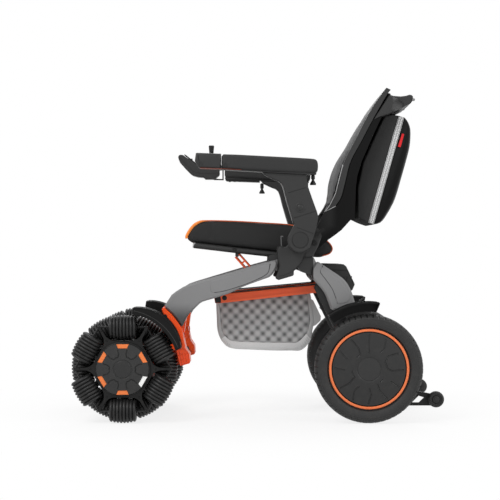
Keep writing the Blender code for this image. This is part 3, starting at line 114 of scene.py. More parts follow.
def grid(rows, wrap_rows=False, wrap_columns=False, cap=False):
    """A skin over rows of points. Rows and columns can close on themselves, and cap fills the two ends."""
    mesh = bmesh.new()
    verts = [[mesh.verts.new(p) for p in row] for row in rows]
    pairs = list(zip(verts, verts[1:])) + ([(verts[-1], verts[0])] if wrap_rows else [])
    for a, b in pairs:
        count = len(a) if wrap_columns else len(a) - 1
        for i in range(count):
            j = (i + 1) % len(a)
            mesh.faces.new((a[i], a[j], b[j], b[i]))
    if cap:
        mesh.faces.new(verts[0])
        mesh.faces.new(verts[-1])
    bmesh.ops.remove_doubles(mesh, verts=mesh.verts, dist=1e-6)
    bmesh.ops.recalc_face_normals(mesh, faces=mesh.faces)
    return mesh


def lathe(profile, centre, steps, side=1.0, closed=False):
    """Points of (radius, y), turned round the Y axis through centre. side -1 mirrors them to the left."""
    rows = []
    for step in range(steps):
        angle = math.tau * step / steps
        across, up = math.cos(angle), math.sin(angle)
        rows.append([(centre[0] + r * across, side * y, centre[1] + r * up) for r, y in profile])
    return grid(rows, wrap_rows=True, wrap_columns=closed)


def round_bar(profile, place, steps, closed=False):
    """Points of (radius, height), turned round the Z axis through a place."""
    rows = []
    for step in range(steps):
        angle = math.tau * step / steps
        rows.append(
            [(place[0] + r * math.cos(angle), place[1] + r * math.sin(angle), place[2] + h) for r, h in profile]
        )
    return grid(rows, wrap_rows=True, wrap_columns=closed)


def sweep(path, radius, sides, closed=False, flat=1.0):
    """A round section carried along a path. radius may be a function of the share of the path's length.
    flat below 1 presses the section into an oval."""
    points = [Vector(p) for p in path]
    count = len(points)
    rows, across = [], None
    for i, point in enumerate(points):
        before = points[i - 1] if closed or i else point
        after = points[(i + 1) % count] if closed or i < count - 1 else point
        along = (after - before).normalized()
        if across is None:
            across = along.orthogonal()
        across = (across - along * across.dot(along)).normalized()
        other = along.cross(across)
        size = radius(i / (count - 1)) if callable(radius) else radius
        ring = [math.tau * k / sides for k in range(sides)]
        rows.append([point + across * size * math.cos(a) + other * size * flat * math.sin(a) for a in ring])
    return grid(rows, wrap_rows=closed, wrap_columns=True, cap=not closed)


def wire(line, y, radius, sides=6, **more):
    """A thin round line along an outline in X and Z. Laid in a face that looks along Y, it is a seam."""
    return sweep([(x, y, z) for x, z in line], radius, sides, **more)


def join(*meshes):
    """Several bmeshes as one."""
    result = bmesh.new()
    for mesh in meshes:
        data = bpy.data.meshes.new("part")
        mesh.to_mesh(data)
        mesh.free()
        result.from_mesh(data)
        bpy.data.meshes.remove(data)
    return result


def turn_y(mesh, centre, degrees):
    """Turns a mesh round Y through centre, from +X towards +Z."""
    turn = Matrix.Rotation(-math.radians(degrees), 3, "Y")
    bmesh.ops.rotate(mesh, verts=mesh.verts, cent=(centre[0], 0.0, centre[1]), matrix=turn)


def smooth(points, steps, closed=False):
    """A Catmull-Rom curve through points of any dimension."""
    count = len(points)
    curve = []
    for i in range(count if closed else count - 1):
        before, start, end, after = (
            Vector(
                points[k % count] if closed else points[max(0, min(count - 1, k))]
            ) for k in (i - 1, i, i + 1, i + 2)
        )
        for step in range(steps):
            t = step / steps
            a = 2 * before - 5 * start + 4 * end - after
            b = 3 * start - before - 3 * end + after
            curve.append(0.5 * (2 * start + (end - before) * t + a * t**2 + b * t**3))
    return [tuple(p) for p in curve] + ([] if closed else [tuple(points[-1])])


def soften(item, bevel, segments=2):
    """Rounds an object's sharp edges by a bevel of that width. None is added for 0."""
    if bevel:
        edge = item.modifiers.new("edges", "BEVEL")
        edge.width = bevel
        edge.segments = segments
        edge.limit_method = "ANGLE"
        edge.angle_limit = math.radians(40)


def piece(
    name, mesh, body, finish, replaces=(), bevel=0.0, segments=2, sharp=35.0, subdivide=0, flat_faces=False
):
    """Turns a bmesh into a named piece that rides on a CAD body. flat_faces keeps large faces evenly lit."""
    data = bpy.data.meshes.new(name)
    mesh.to_mesh(data)
    mesh.free()
    made = bpy.data.objects.new(name, data)
    bpy.context.scene.collection.objects.link(made)
    data.materials.append(finish)
    data.shade_smooth()
    if sharp < 180.0:
        data.set_sharp_from_angle(angle=math.radians(sharp))
    soften(made, bevel, segments)
    if flat_faces:
        even = made.modifiers.new("flat_faces", "WEIGHTED_NORMAL")
        even.keep_sharp = True
    if subdivide:
        finer = made.modifiers.new("finer", "SUBSURF")
        finer.levels = finer.render_levels = subdivide
    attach(made, body)
    if replaces:
        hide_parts(*replaces)
    return made


def dress(node, finish, bevel=0.0):
    """Gives a CAD node a finish, and softer edges where bevel is given."""
    item = NODES[node]
    item.data.materials.clear()
    item.data.materials.append(finish)
    item.data.shade_smooth()
    item.data.set_sharp_from_angle(angle=math.radians(35))
    soften(item, bevel)


print("helpers ready")

# %% [markdown]
# Real surfaces are never one flat colour. Three effects turn up on most of the chair: a fine grain that
# breaks up the highlight, a soft change of tone with a little dust, and a cloth weave. Each is a node
# group with its own inputs, so every material can place it with its own scale and strength.

# %% Node helpers


def plug(tree, item, inputs):
    """Gives a node's inputs their values, or links them where a socket is given."""
    for key, value in inputs.items():
        if isinstance(value, bpy.types.NodeSocket):
            tree.links.new(value, item.inputs[key])
        else:
            item.inputs[key].default_value = value


def node(tree, kind, inputs=None, **settings):
    """Adds a node, with its settings and the values or links of its inputs."""
    made = tree.nodes.new(kind)
    for key, value in settings.items():
        setattr(made, key, value)
    plug(tree, made, inputs or {})
    return made


def object_place(tree):
    """The place on the piece itself, which moves with it."""
    return node(tree, "ShaderNodeTexCoord").outputs["Object"]


def object_axes(tree):
    return node(tree, "ShaderNodeSeparateXYZ", {0: object_place(tree)}).outputs


def calc(tree, operation, a, b=0.0, c=0.0):
    return node(tree, "ShaderNodeMath", {0: a, 1: b, 2: c}, operation=operation).outputs[0]


def blend_colours(tree, factor, a, b, mode="MIX"):
    made = node(tree, "ShaderNodeMix", {0: factor, 6: a, 7: b}, data_type="RGBA", blend_type=mode)
    return made.outputs[2]


def group(name, inputs, outputs):
    """An empty node group with named sockets. Returns the tree, its input sockets and its output node."""
    tree = bpy.data.node_groups.new(name, "ShaderNodeTree")
    for label, kind, default in inputs:
        socket = tree.interface.new_socket(label, in_out="INPUT", socket_type=f"NodeSocket{kind}")
        socket.default_value = default
    for label, kind in outputs:
        tree.interface.new_socket(label, in_out="OUTPUT", socket_type=f"NodeSocket{kind}")
    source = tree.nodes.new("NodeGroupInput")
    target = tree.nodes.new("NodeGroupOutput")
    return tree, source.outputs, target


def place_group(tree, shared, **values):
    made = tree.nodes.new("ShaderNodeGroup")
    made.node_tree = shared
    plug(tree, made, values)
    return made.outputs


print("node helpers ready")

# %% Grain: fine moulded texture for plastic, paint and rubber


def grain_group():
    tree, into, out = group(
        "Grain",
        [("Size", "Float", 0.002), ("Roughness", "Float", 0.45), ("Spread", "Float", 0.1)],
        [("Height", "Float"), ("Roughness", "Float")],
    )
    place = object_place(tree)
    scale = calc(tree, "DIVIDE", 1.0, into["Size"])
    fine = node(tree, "ShaderNodeTexNoise", {"Vector": place, "Scale": scale, "Detail": 3.0}).outputs[0]
    broad = node(tree, "ShaderNodeTexNoise", {"Vector": place, "Scale": 14.0, "Detail": 4.0}).outputs[0]
    swing = calc(tree, "SUBTRACT", calc(tree, "ADD", calc(tree, "MULTIPLY", fine, 0.4), broad), 0.7)
    rough = calc(tree, "MULTIPLY_ADD", swing, into["Spread"], into["Roughness"])
    tree.links.new(fine, out.inputs["Height"])
    tree.links.new(rough, out.inputs["Roughness"])
    return tree


GRAIN = grain_group()
print("group", GRAIN.name)

# %% Tone: slow colour change and dust that settles low on the chair


def tone_group():
    tree, into, out = group(
        "Tone",
        [
            ("Colour", "Color", (0.04, 0.04, 0.04, 1.0)),
            ("Change", "Float", 0.12),
            ("Dust", "Float", 0.1),
            ("Dust Colour", "Color", (0.2, 0.18, 0.16, 1.0)),
        ],
        [("Colour", "Color")],
    )
    place = object_place(tree)
    slow = node(tree, "ShaderNodeTexNoise", {"Vector": place, "Scale": 9.0, "Detail": 5.0}).outputs[0]
    factor = calc(tree, "MULTIPLY_ADD", calc(tree, "SUBTRACT", slow, 0.5), into["Change"], 1.0)
    grey = node(tree, "ShaderNodeCombineColor", {0: factor, 1: factor, 2: factor}).outputs[0]
    toned = blend_colours(tree, 1.0, into["Colour"], grey, "MULTIPLY")
    height = node(tree, "ShaderNodeSeparateXYZ", {0: place}).outputs[2]
    low = node(tree, "ShaderNodeMapRange", {0: height, 1: 0.0, 2: 0.5, 3: 1.0, 4: 0.15}).outputs[0]
    specks = node(tree, "ShaderNodeTexNoise", {"Vector": place, "Scale": 60.0, "Detail": 6.0}).outputs[0]
    patch = node(tree, "ShaderNodeMapRange", {0: specks, 1: 0.5, 2: 0.75}).outputs[0]
    mask = calc(tree, "MULTIPLY", calc(tree, "MULTIPLY", patch, low), into["Dust"])
    dusty = blend_colours(tree, mask, toned, into["Dust Colour"])
    tree.links.new(dusty, out.inputs["Colour"])
    return tree


TONE = tone_group()
print("group", TONE.name)

# %% Weave: threads over and under, from the place on the piece alone


def weave_group():
    tree, into, out = group(
        "Weave",
        [("Pitch", "Float", 0.002), ("Colour", "Color", (0.03, 0.03, 0.03, 1.0)), ("Contrast", "Float", 0.5)],
        [("Height", "Float"), ("Colour", "Color")],
    )
    place = object_place(tree)
    wobble = node(tree, "ShaderNodeTexNoise", {"Vector": place, "Scale": 40.0, "Detail": 2.0}).outputs[1]
    shift = node(tree, "ShaderNodeVectorMath", {0: wobble, 3: 0.0012}, operation="SCALE").outputs[0]
    crooked = node(tree, "ShaderNodeVectorMath", {0: place, 1: shift}, operation="ADD").outputs[0]
    parts = node(tree, "ShaderNodeSeparateXYZ", {0: crooked}).outputs
    turns = calc(tree, "DIVIDE", math.pi, into["Pitch"])
    along = calc(tree, "MULTIPLY", calc(tree, "ADD", parts[0], parts[2]), turns)
    across = calc(
        tree, "MULTIPLY", calc(tree, "SUBTRACT", calc(tree, "ADD", parts[1], parts[2]), parts[0]), turns
    )
    warp = calc(tree, "ABSOLUTE", calc(tree, "SINE", along))
    weft = calc(tree, "ABSOLUTE", calc(tree, "SINE", across))
    over = calc(tree, "MAXIMUM", calc(tree, "MULTIPLY", warp, 0.9), weft)
    shade = calc(tree, "MULTIPLY_ADD", calc(tree, "SUBTRACT", over, 0.75), into["Contrast"], 1.0)
    grey = node(tree, "ShaderNodeCombineColor", {0: shade, 1: shade, 2: shade}).outputs[0]
    tree.links.new(over, out.inputs["Height"])
    tree.links.new(blend_colours(tree, 1.0, into["Colour"], grey, "MULTIPLY"), out.inputs["Colour"])
    return tree


WEAVE = weave_group()
print("group", WEAVE.name)

# %% [markdown]
# Every hard finish is the same recipe with other numbers: a toned colour, a grained roughness and a small
# bump. What is the same all over a surface, such as a paint's clear coat, is set on the shader's own
# socket. Cloth swaps the grain for the weave and adds sheen.

# %% Finish recipes


def bump(tree, height, depth):
    return node(tree, "ShaderNodeBump", {"Height": height, "Strength": 1.0, "Distance": depth}).outputs[0]


def rgba(colour):
    """Three values as an opaque colour. A single number means a grey."""
    return (*(colour if isinstance(colour, tuple) else (colour,) * 3), 1.0)


def new_finish(name, colour):
    """An empty material, its tree and its shader."""
    made = bpy.data.materials.new(name)
    made.use_nodes = True
    made.diffuse_color = rgba(colour)
    return made, made.node_tree, made.node_tree.nodes["Principled BSDF"]


def hard(
    name, colour, roughness, metallic=0.0, grain=0.0012, depth=0.0001,
    spread=0.12, change=0.14, dust=0.1, coat=0.0, shine=0.36, painted_shade=None,
):
    """Moulded plastic, paint, rubber or metal. painted_shade gives the mask of painted shade that darkens the
    colour.
    """
    made, tree, shader = new_finish(name, colour)
    base = painted_shade(tree, rgba(colour)) if painted_shade else rgba(colour)
    tone = place_group(tree, TONE, Colour=base, Change=change, Dust=dust)
    texture = place_group(tree, GRAIN, Size=grain, Roughness=roughness, Spread=spread)
    looks = {"Base Color": tone["Colour"], "Roughness": texture["Roughness"], "Metallic": metallic}
    looks |= {"Specular IOR Level": shine, "Coat Weight": coat, "Coat Roughness": 0.12}
    plug(tree, shader, looks | {"Normal": bump(tree, texture["Height"], depth)})
    return made


def woven(tree, colour, pitch, contrast, change, dust, depth):
    """The inputs that every cloth shares: toned threads and their bump."""
    weave = place_group(tree, WEAVE, Pitch=pitch, Colour=colour, Contrast=contrast)
    tone = place_group(tree, TONE, Colour=weave["Colour"], Change=change, Dust=dust)
    return {"Base Color": tone["Colour"], "Normal": bump(tree, weave["Height"], depth)}


def cloth(
    name, colour, roughness=0.85, *, pitch, contrast, depth, sheen=0.03, dust=0.02, shine=0.3
):
    """Woven cover cloth."""
    made, tree, shader = new_finish(name, colour)
    looks = {"Roughness": roughness, "Specular IOR Level": shine, "Sheen Weight": sheen, "Sheen Roughness": 0.5}
    plug(tree, shader, looks | woven(tree, rgba(colour), pitch, contrast, 0.2, dust, depth))
    return made


print("recipes ready")

# %% [markdown]
# Both arms are grey castings whose roots run in under the dark hub, so painted shade turns their paint dark
# there. The front arm also gets painted shade towards its foot, and the backrest's black frame gets deeper
# painted shade along its edge and at its rear. These masks read the place on the piece and nothing else.

# %% Painted shade on the arms and the back frame
# Colours of painted shade: at the arms' roots by the hub, on the back frame, and at the front arm's foot.
PAINTED_ROOT_SHADE = rgba(0.022)
PAINTED_SHADE_BLACK = rgba(0.003)
SLANT = (0.663, 0.749)  # the direction from the back frame's rear edge into the frame
PAINTED_FOOT_SHADE = rgba((0.06, 0.06, 0.061))


def ramp(tree, value, low, high):
    return node(
        tree, "ShaderNodeMapRange", {0: value, 1: low, 2: high}, interpolation_type="SMOOTHSTEP"
    ).outputs[0]


# Painted shade on the front arm: dark where its root meets the hub, and darker towards its foot.
def front_arm_painted_shade(tree, colour):
    parts = object_axes(tree)
    line = calc(tree, "MULTIPLY_ADD", parts[0], -0.25, PIVOT[0] * 0.25 - (PIVOT[1] - 0.0257))
    above = ramp(tree, calc(tree, "ADD", parts[2], line), -0.0003, 0.0003)
    behind = ramp(tree, parts[0], PIVOT[0] - 0.01, PIVOT[0] - 0.0094)
    near = ramp(tree, parts[0], PIVOT[0] - 0.044, PIVOT[0] - 0.0434)
    root = calc(tree, "MAXIMUM", calc(tree, "MULTIPLY", above, near), behind)
    upwards = ramp(tree, parts[2], PIVOT[1] - 0.205, PIVOT[1] - 0.15)
    shaded = blend_colours(tree, upwards, PAINTED_FOOT_SHADE, colour)
    return blend_colours(tree, root, shaded, PAINTED_ROOT_SHADE)


# Painted shade on the rear arm, dark at its root by the hub.
def rear_arm_painted_shade(tree, colour):
    parts = object_axes(tree)
    root = ramp(tree, parts[0], PIVOT[0] + 0.0945, PIVOT[0] + 0.0935)
    return blend_colours(tree, root, colour, PAINTED_ROOT_SHADE)


# Painted shade on the black back frame: deeper black along its rear edge and behind.
def frame_painted_shade(tree, colour):
    parts = object_axes(tree)
    start = (PIVOT[0] + 0.2145) * SLANT[0] - (PIVOT[1] + 0.0938) * SLANT[1]
    inward = calc(tree, "MULTIPLY_ADD", parts[0], -SLANT[0], start)
    inward = calc(tree, "MULTIPLY_ADD", parts[2], SLANT[1], inward)
    edge = ramp(tree, inward, 0.038, 0.008)
    behind = ramp(tree, parts[0], PIVOT[0] + 0.138, PIVOT[0] + 0.168)
    return blend_colours(tree, calc(tree, "MAXIMUM", edge, behind), colour, PAINTED_SHADE_BLACK)


print("masks ready")

# %% The chair's finishes
PLASTIC = hard("moulded_plastic", 0.02, 0.5, grain=0.0009, depth=0.0001, dust=0.04)
SATIN_PLASTIC = hard("satin_plastic", 0.016, 0.4, grain=0.0012, depth=0.00005, dust=0.04)
# The back frame's plastic is black, with painted shade deepening it along its edge and at its rear.
FRAME_PLASTIC = hard(
    "frame_plastic", 0.018, 0.55, grain=0.0009, depth=0.00008, dust=0.0, shine=0.12, painted_shade=frame_painted_shade
)
FENDER_PLASTIC = hard("fender_plastic", 0.004, 0.38, grain=0.001, depth=0.00008, dust=0.02, shine=0.16)
GREY = {
    "colour": (0.2, 0.2, 0.202), "roughness": 0.38, "metallic": 0.25, "grain": 0.0007, "depth": 0.00003,
    "change": 0.06, "coat": 0.15, "dust": 0.03,
}
GREY_PAINT = hard("grey_paint", **GREY)
# Both arm paints carry painted shade at the root, and the front one towards its foot as well.
FRONT_ARM_PAINT = hard("front_arm_paint", **GREY, painted_shade=front_arm_painted_shade)
REAR_ARM_PAINT = hard("rear_arm_paint", **GREY, painted_shade=rear_arm_painted_shade)
ORANGE_PAINT = hard(
    "orange_paint", (0.86, 0.075, 0.004), 0.36, grain=0.0009, depth=0.00004, change=0.08, coat=0.1, dust=0.03
)
STRUT_PAINT = hard(
    "strut_orange", (0.78, 0.105, 0.028), 0.42, grain=0.0009, depth=0.00004, change=0.08, coat=0.05, dust=0.03
)
RING_PAINT = hard(
    "ring_orange", (0.78, 0.18, 0.055), 0.4, grain=0.001, depth=0.00004, change=0.06, coat=0.05, dust=0.03
)
PANE_PAINT = hard("pane_orange", (0.78, 0.19, 0.045), 0.42, grain=0.001, depth=0.00004, change=0.04, dust=0.02)
SCREEN = hard(
    "screen_glass", (0.012, 0.013, 0.016), 0.1, grain=0.002, depth=0.0, change=0.02, dust=0.0, coat=0.5
)
WHITE_PLASTIC = hard("white_plastic", (0.86, 0.86, 0.85), 0.35, change=0.03, dust=0.02)
ROLLER_RUBBER = hard("roller_rubber", 0.009, 0.44, grain=0.0016, depth=0.0001, dust=0.06)
TYRE_RUBBER = hard("tyre_rubber", 0.019, 0.6, grain=0.0011, depth=0.0001, dust=0.05)
GRIP_RUBBER = hard("grip_rubber", 0.01, 0.62, grain=0.0008, depth=0.00012, dust=0.03)
BLACK_METAL = hard("black_metal", 0.007, 0.4, 0.3, grain=0.0008, depth=0.00004, dust=0.04)
BOLT_METAL = hard("bolt_metal", (0.02, 0.02, 0.021), 0.32, 0.8, grain=0.001, depth=0.00002, dust=0.02)
BARE_METAL = hard("bare_metal", 0.42, 0.3, 0.95, grain=0.0009, depth=0.00003, dust=0.02)
print(len(bpy.data.materials), "materials")

# %% [markdown]
# ## Front wheels
# Each front wheel has two rows of six barrel rollers, so the chair can also slide sideways. A roller is a
# ribbed rubber sleeve, crowned so that the six of a row make a round wheel. One rib profile is turned
# round the roller's own axis, and copies are laid along the rim at the angles of the CAD's axles.

# %% One ribbed roller
WHEEL_RADIUS = 0.155
ROLLER_RADIUS = 0.0355
ROLLER_LENGTH = 0.077
ROLLER_RIBS = 8
RIB_DEPTH = 0.0036
ROW_Y = {"outer": 0.2745, "inner": 0.2075}
ROW_START = {"outer": 90.0, "inner": 120.0}
AXLE_DISTANCE = WHEEL_RADIUS - ROLLER_RADIUS


def crown(reach):
    """Radius of the roller at a distance along its axis, so that its outside follows the wheel's circle."""
    return ROLLER_RADIUS - (WHEEL_RADIUS - math.sqrt(WHEEL_RADIUS**2 - reach**2))


def roller_profile():
    pitch = ROLLER_LENGTH / ROLLER_RIBS
    shape = [(0.0, 1.0), (0.1, 0.8), (0.22, 0.25), (0.36, 0.0), (0.64, 0.0), (0.78, 0.25), (0.9, 0.8)]
    points = [(0.012, -ROLLER_LENGTH / 2 + 0.004), (0.026, -ROLLER_LENGTH / 2)]
    for rib in range(ROLLER_RIBS):
        for share, depth in shape:
            reach = -ROLLER_LENGTH / 2 + (rib + share) * pitch
            points.append((crown(reach) - depth * RIB_DEPTH, reach))
    return points + [(0.026, ROLLER_LENGTH / 2), (0.012, ROLLER_LENGTH / 2 - 0.004)]


def lay_on_rim(mesh, degrees, y):
    """Lays a shape made along Y on the rim, with its axis along the wheel's edge."""
    bmesh.ops.rotate(mesh, verts=mesh.verts, cent=(0, 0, 0), matrix=Matrix.Rotation(math.pi / 2, 3, "Z"))
    bmesh.ops.translate(mesh, verts=mesh.verts, vec=(0.0, y, AXLE_DISTANCE))
    turn_y(mesh, (0.0, 0.0), degrees - 90.0)
    bmesh.ops.translate(mesh, verts=mesh.verts, vec=(FRONT_AXLE[0], 0.0, FRONT_AXLE[1]))
    return mesh


print("roller points", len(roller_profile()))

# %% Both rows on both wheels
BUSH_HALF = ROLLER_LENGTH / 2 + 0.0035
BUSH = [(0.0, -BUSH_HALF), (0.009, -BUSH_HALF), (0.0115, -BUSH_HALF + 0.002)]
BUSH += [(r, -y) for r, y in BUSH[::-1]]
TIP_DISTANCE = AXLE_DISTANCE / math.cos(math.radians(30))

for name, side in SIDES.items():
    body = f"front_wheel_{name}"
    metal = []
    for row, row_y in ROW_Y.items():
        rubber = []
        y = side * row_y
        for i in range(6):
            angle = ROW_START[row] + 60.0 * i
            rubber.append(lay_on_rim(lathe(roller_profile(), (0.0, 0.0), 32), angle, y))
            metal.append(lay_on_rim(lathe(BUSH, (0.0, 0.0), 18), angle, y))
            ends = [polar(FRONT_AXLE, TIP_DISTANCE, angle + turn) for turn in (-30, 30)]
            metal.append(wire(ends, y, 0.003, 10))
        sleeves = (f"ribbed_rollers_{row}_{name}", join(*rubber), body, ROLLER_RUBBER)
        piece(*sleeves, [f"rollers_{row}_{name}"], sharp=50)
    piece(f"roller_axles_{name}", join(*metal), body, BLACK_METAL)
    dress(f"omni_hub_{name}", BLACK_METAL, 0.0012)
print("24 rollers")

# %% [markdown]
# At the tip of each star arm a clevis holds the ends of two neighbouring roller axles, and a bolt further in
# holds the clevis. Between star and rollers there is real air, so light shows through, as in the photograph.

# %% Clevises and bolts on the stars
CLEVIS = [(0.124, -0.003), (0.1325, -0.0052), (0.1395, -0.0046), (0.141, 0.0)]
CLEVIS += [(r, -w) for r, w in CLEVIS[2::-1]]
CLEVIS_HALF = 0.0058
STAR_BOLT_DISTANCE = 0.0935


def bolt(centre, y, side, radius, height):
    """A domed cap screw with a socket, whose head stands out sideways from y."""
    top = side * height
    profile = [
        (radius, y - side * 0.002), (radius, y + top * 0.6), (radius * 0.85, y + top), (radius * 0.5, y + top),
        (radius * 0.45, y + top * 0.35), (0.0, y + top * 0.35),
    ]
    return lathe(profile, centre, 12)


for name, side in SIDES.items():
    body = f"front_wheel_{name}"
    clevises, bolts = [], []
    for row, row_y in ROW_Y.items():
        for i in range(6):
            angle = ROW_START[row] + 30.0 + 60.0 * i
            turn = Matrix.Rotation(math.radians(angle), 2)
            outline = [tuple(Vector(FRONT_AXLE) + turn @ Vector(p)) for p in CLEVIS]
            y = side * row_y
            clevises.append(slab(outline, y - CLEVIS_HALF, y + CLEVIS_HALF))
            place = polar(FRONT_AXLE, STAR_BOLT_DISTANCE, angle)
            bolts.append(bolt(place, y + side * 0.0038, side, 0.003, 0.0016))
    piece(f"axle_clevises_{name}", join(*clevises), body, BLACK_METAL, bevel=0.0008)
    piece(f"star_bolts_{name}", join(*bolts), body, BLACK_METAL)
print("clevises and bolts")

# %% [markdown]
# The round cap over each front wheel has six windows near its rim, with a short channel running inwards from
# each. Windows and channels are cut from a turned disc with booleans. The result is baked at once, so the
# cutters leave nothing behind in the scene.

# %% Cutting helper


def carved(mesh, cutters):
    """The mesh after each cutter has been taken away from it."""
    holders = []
    for source in [mesh, *cutters]:
        data = bpy.data.meshes.new("holder")
        source.to_mesh(data)
        source.free()
        holders.append(bpy.data.objects.new("holder", data))
        bpy.context.scene.collection.objects.link(holders[-1])
    for cutter in holders[1:]:
        step = holders[0].modifiers.new("cut", "BOOLEAN")
        step.operation = "DIFFERENCE"
        step.solver = "EXACT"
        step.object = cutter
    result = bmesh.new()
    result.from_object(holders[0], bpy.context.evaluated_depsgraph_get())
    for holder in holders:
        data = holder.data
        bpy.data.objects.remove(holder, do_unlink=True)
        bpy.data.meshes.remove(data)
    return result


def ribbon(points, width):
    """The outline of a strip of one width along a path in X and Z."""
    path = [Vector(p) for p in points]
    left, right = [], []
    for i, here in enumerate(path):
        ahead = (path[min(i + 1, len(path) - 1)] - path[max(i - 1, 0)]).normalized()
        across = Vector((-ahead.y, ahead.x)) * width / 2
        left.append(tuple(here + across))
        right.append(tuple(here - across))
    return left + right[::-1]


def sector(centre, inner, outer, degrees, inner_width, outer_width):
    """A trapezoid that faces the centre at an angle."""
    along = Vector(polar((0.0, 0.0), 1.0, degrees))
    across = Vector((-along.y, along.x))
    corners = [(inner, -inner_width), (outer, -outer_width), (outer, outer_width), (inner, inner_width)]
    return [tuple(Vector(centre) + along * r + across * w / 2) for r, w in corners]


print("cutting ready")

# %% Front wheel caps
CAP_FACE = 0.2828
CAP_TOP = 0.2968
CAP_RADIUS = 0.077
CAP_RIM = [(0.0, CAP_FACE), (CAP_RADIUS, CAP_FACE), (CAP_RADIUS, CAP_FACE + 0.006), (0.0755, CAP_FACE + 0.0085)]
CAP_RIM += [(0.075, CAP_TOP - 0.0035), (0.0738, CAP_TOP - 0.0024), (0.056, CAP_TOP - 0.001), (0.0285, CAP_TOP)]
CAP_RIM += [(0.027, CAP_TOP - 0.0012), (0.0256, CAP_TOP - 0.0012), (0.0248, CAP_TOP - 0.0004), (0.0, CAP_TOP)]
CAP_RING = [
    (0.0765, CAP_FACE), (0.079, CAP_FACE + 0.001), (0.0786, CAP_FACE + 0.0035), (0.0768, CAP_FACE + 0.004)
]
CAP_BADGE = [(0.0, CAP_TOP - 0.0006), (0.0236, CAP_TOP - 0.0006), (0.024, CAP_TOP), (0.0232, CAP_TOP + 0.0006)]
CAP_BADGE += [(0.0, CAP_TOP + 0.001)]
WINDOW_ANGLES = [90.0, 30.0, -30.0, -90.0, -150.0, 150.0]

for name, side in SIDES.items():
    body = f"front_wheel_{name}"
    cutters = []
    for angle in WINDOW_ANGLES:
        y = (side * (CAP_TOP - 0.0042), side * (CAP_TOP + 0.004))
        cutters.append(slab(sector(FRONT_AXLE, 0.0595, 0.0725, angle, 0.0265, 0.036), *y))
        along = Vector(polar((0.0, 0.0), 1.0, angle))
        across = Vector((-along.y, along.x))
        for hand in (-1.0, 1.0):
            run = [(0.0325, 0.0195), (0.035, 0.0125), (0.044, 0.0105), (0.056, 0.0135)]
            line = [tuple(Vector(FRONT_AXLE) + along * r + across * hand * w) for r, w in run]
            cutters.append(slab(ribbon(line, 0.0036), side * (CAP_TOP - 0.0036), side * (CAP_TOP + 0.004)))
    disc = lathe(CAP_RIM, FRONT_AXLE, 96, side)
    cap = carved(disc, cutters)
    piece(f"wheel_cap_{name}", cap, body, PLASTIC, [f"front_wheel_cap_{name}"], bevel=0.0004, segments=1)
    panes = {PANE_PAINT: [], WHITE_PLASTIC: []}
    for angle in WINDOW_ANGLES:
        tint = WHITE_PLASTIC if angle == -30.0 else PANE_PAINT
        outline = sector(FRONT_AXLE, 0.0598, 0.0722, angle, 0.0262, 0.0357)
        panes[tint].append(slab(outline, side * (CAP_TOP - 0.0046), side * (CAP_TOP - 0.003)))
    for tint, made in panes.items():
        piece(f"cap_panes_{tint.name}_{name}", join(*made), body, tint, bevel=0.0005)
    piece(f"cap_rim_{name}", lathe(CAP_RING, FRONT_AXLE, 72, side, closed=True), body, BLACK_METAL)
    piece(f"cap_centre_{name}", lathe(CAP_BADGE, FRONT_AXLE, 64, side), body, SATIN_PLASTIC)
print("caps with", len(WINDOW_ANGLES), "windows each")

# %% [markdown]
# ## Rear wheels
# Each rear wheel carries its own motor. The tyre is solid rubber with short grooves cut in from both
# shoulders. Its section is swept round the axle and pressed in where a groove lies, which is cheaper and
# cleaner than cutting 110 slots.

# %% Grooved tyres
TYRE_PITCHES = 55
GROOVE_DEPTH = 0.0038
WHEEL_Y = 0.275
TYRE_SECTION = [
    (0.1172, 0.0196), (0.1205, 0.0262), (0.1268, 0.0296), (0.1345, 0.0312), (0.1402, 0.0313), (0.1416, 0.0303),
    (0.1424, 0.0303), (0.1436, 0.0307), (0.147, 0.029), (0.1505, 0.0254), (0.153, 0.0205), (0.1548, 0.014),
    (0.1558, 0.007),
]


def tyre_section():
    return TYRE_SECTION + [(0.156, 0.0)] + [(r, -y) for r, y in reversed(TYRE_SECTION)]


def tyre(centre, side):
    """A round of sections, lower in the grooves. The grooves of the two shoulders are half a pitch apart."""
    section = tyre_section()
    shares = [0.0, 0.03, 0.2, 0.23, 0.5, 0.53, 0.7, 0.73]
    rows = []
    for i in range(TYRE_PITCHES):
        for k, share in enumerate(shares):
            angle = math.tau * (i + share) / TYRE_PITCHES
            row = []
            for r, y in section:
                groove = (k in (1, 2) and y > 0.006) or (k in (5, 6) and y < -0.006)
                reach = r - (GROOVE_DEPTH * min(1.0, max(0.0, (r - 0.1465) / 0.003)) if groove else 0.0)
                x, z = centre[0] + reach * math.cos(angle), centre[1] + reach * math.sin(angle)
                row.append((x, side * (WHEEL_Y + y), z))
            rows.append(row)
    return grid(rows, wrap_rows=True, wrap_columns=True)


for name, side in SIDES.items():
    body = f"rear_wheel_{name}"
    piece(f"tread_{name}", tyre(REAR_AXLE, side), body, TYRE_RUBBER, [f"rear_tyre_{name}"], sharp=32)
    dress(f"hub_motor_{name}", BLACK_METAL)
print("grooves", TYRE_PITCHES * 2, "per tyre")

# %% [markdown]
# An orange ring sits on the rim, and a dark cover with a flower of narrow grooves closes the motor. Each
# groove follows a path over the cover's low dome: a thin tube laid along that path is cut away, which
# leaves a groove with a round floor.

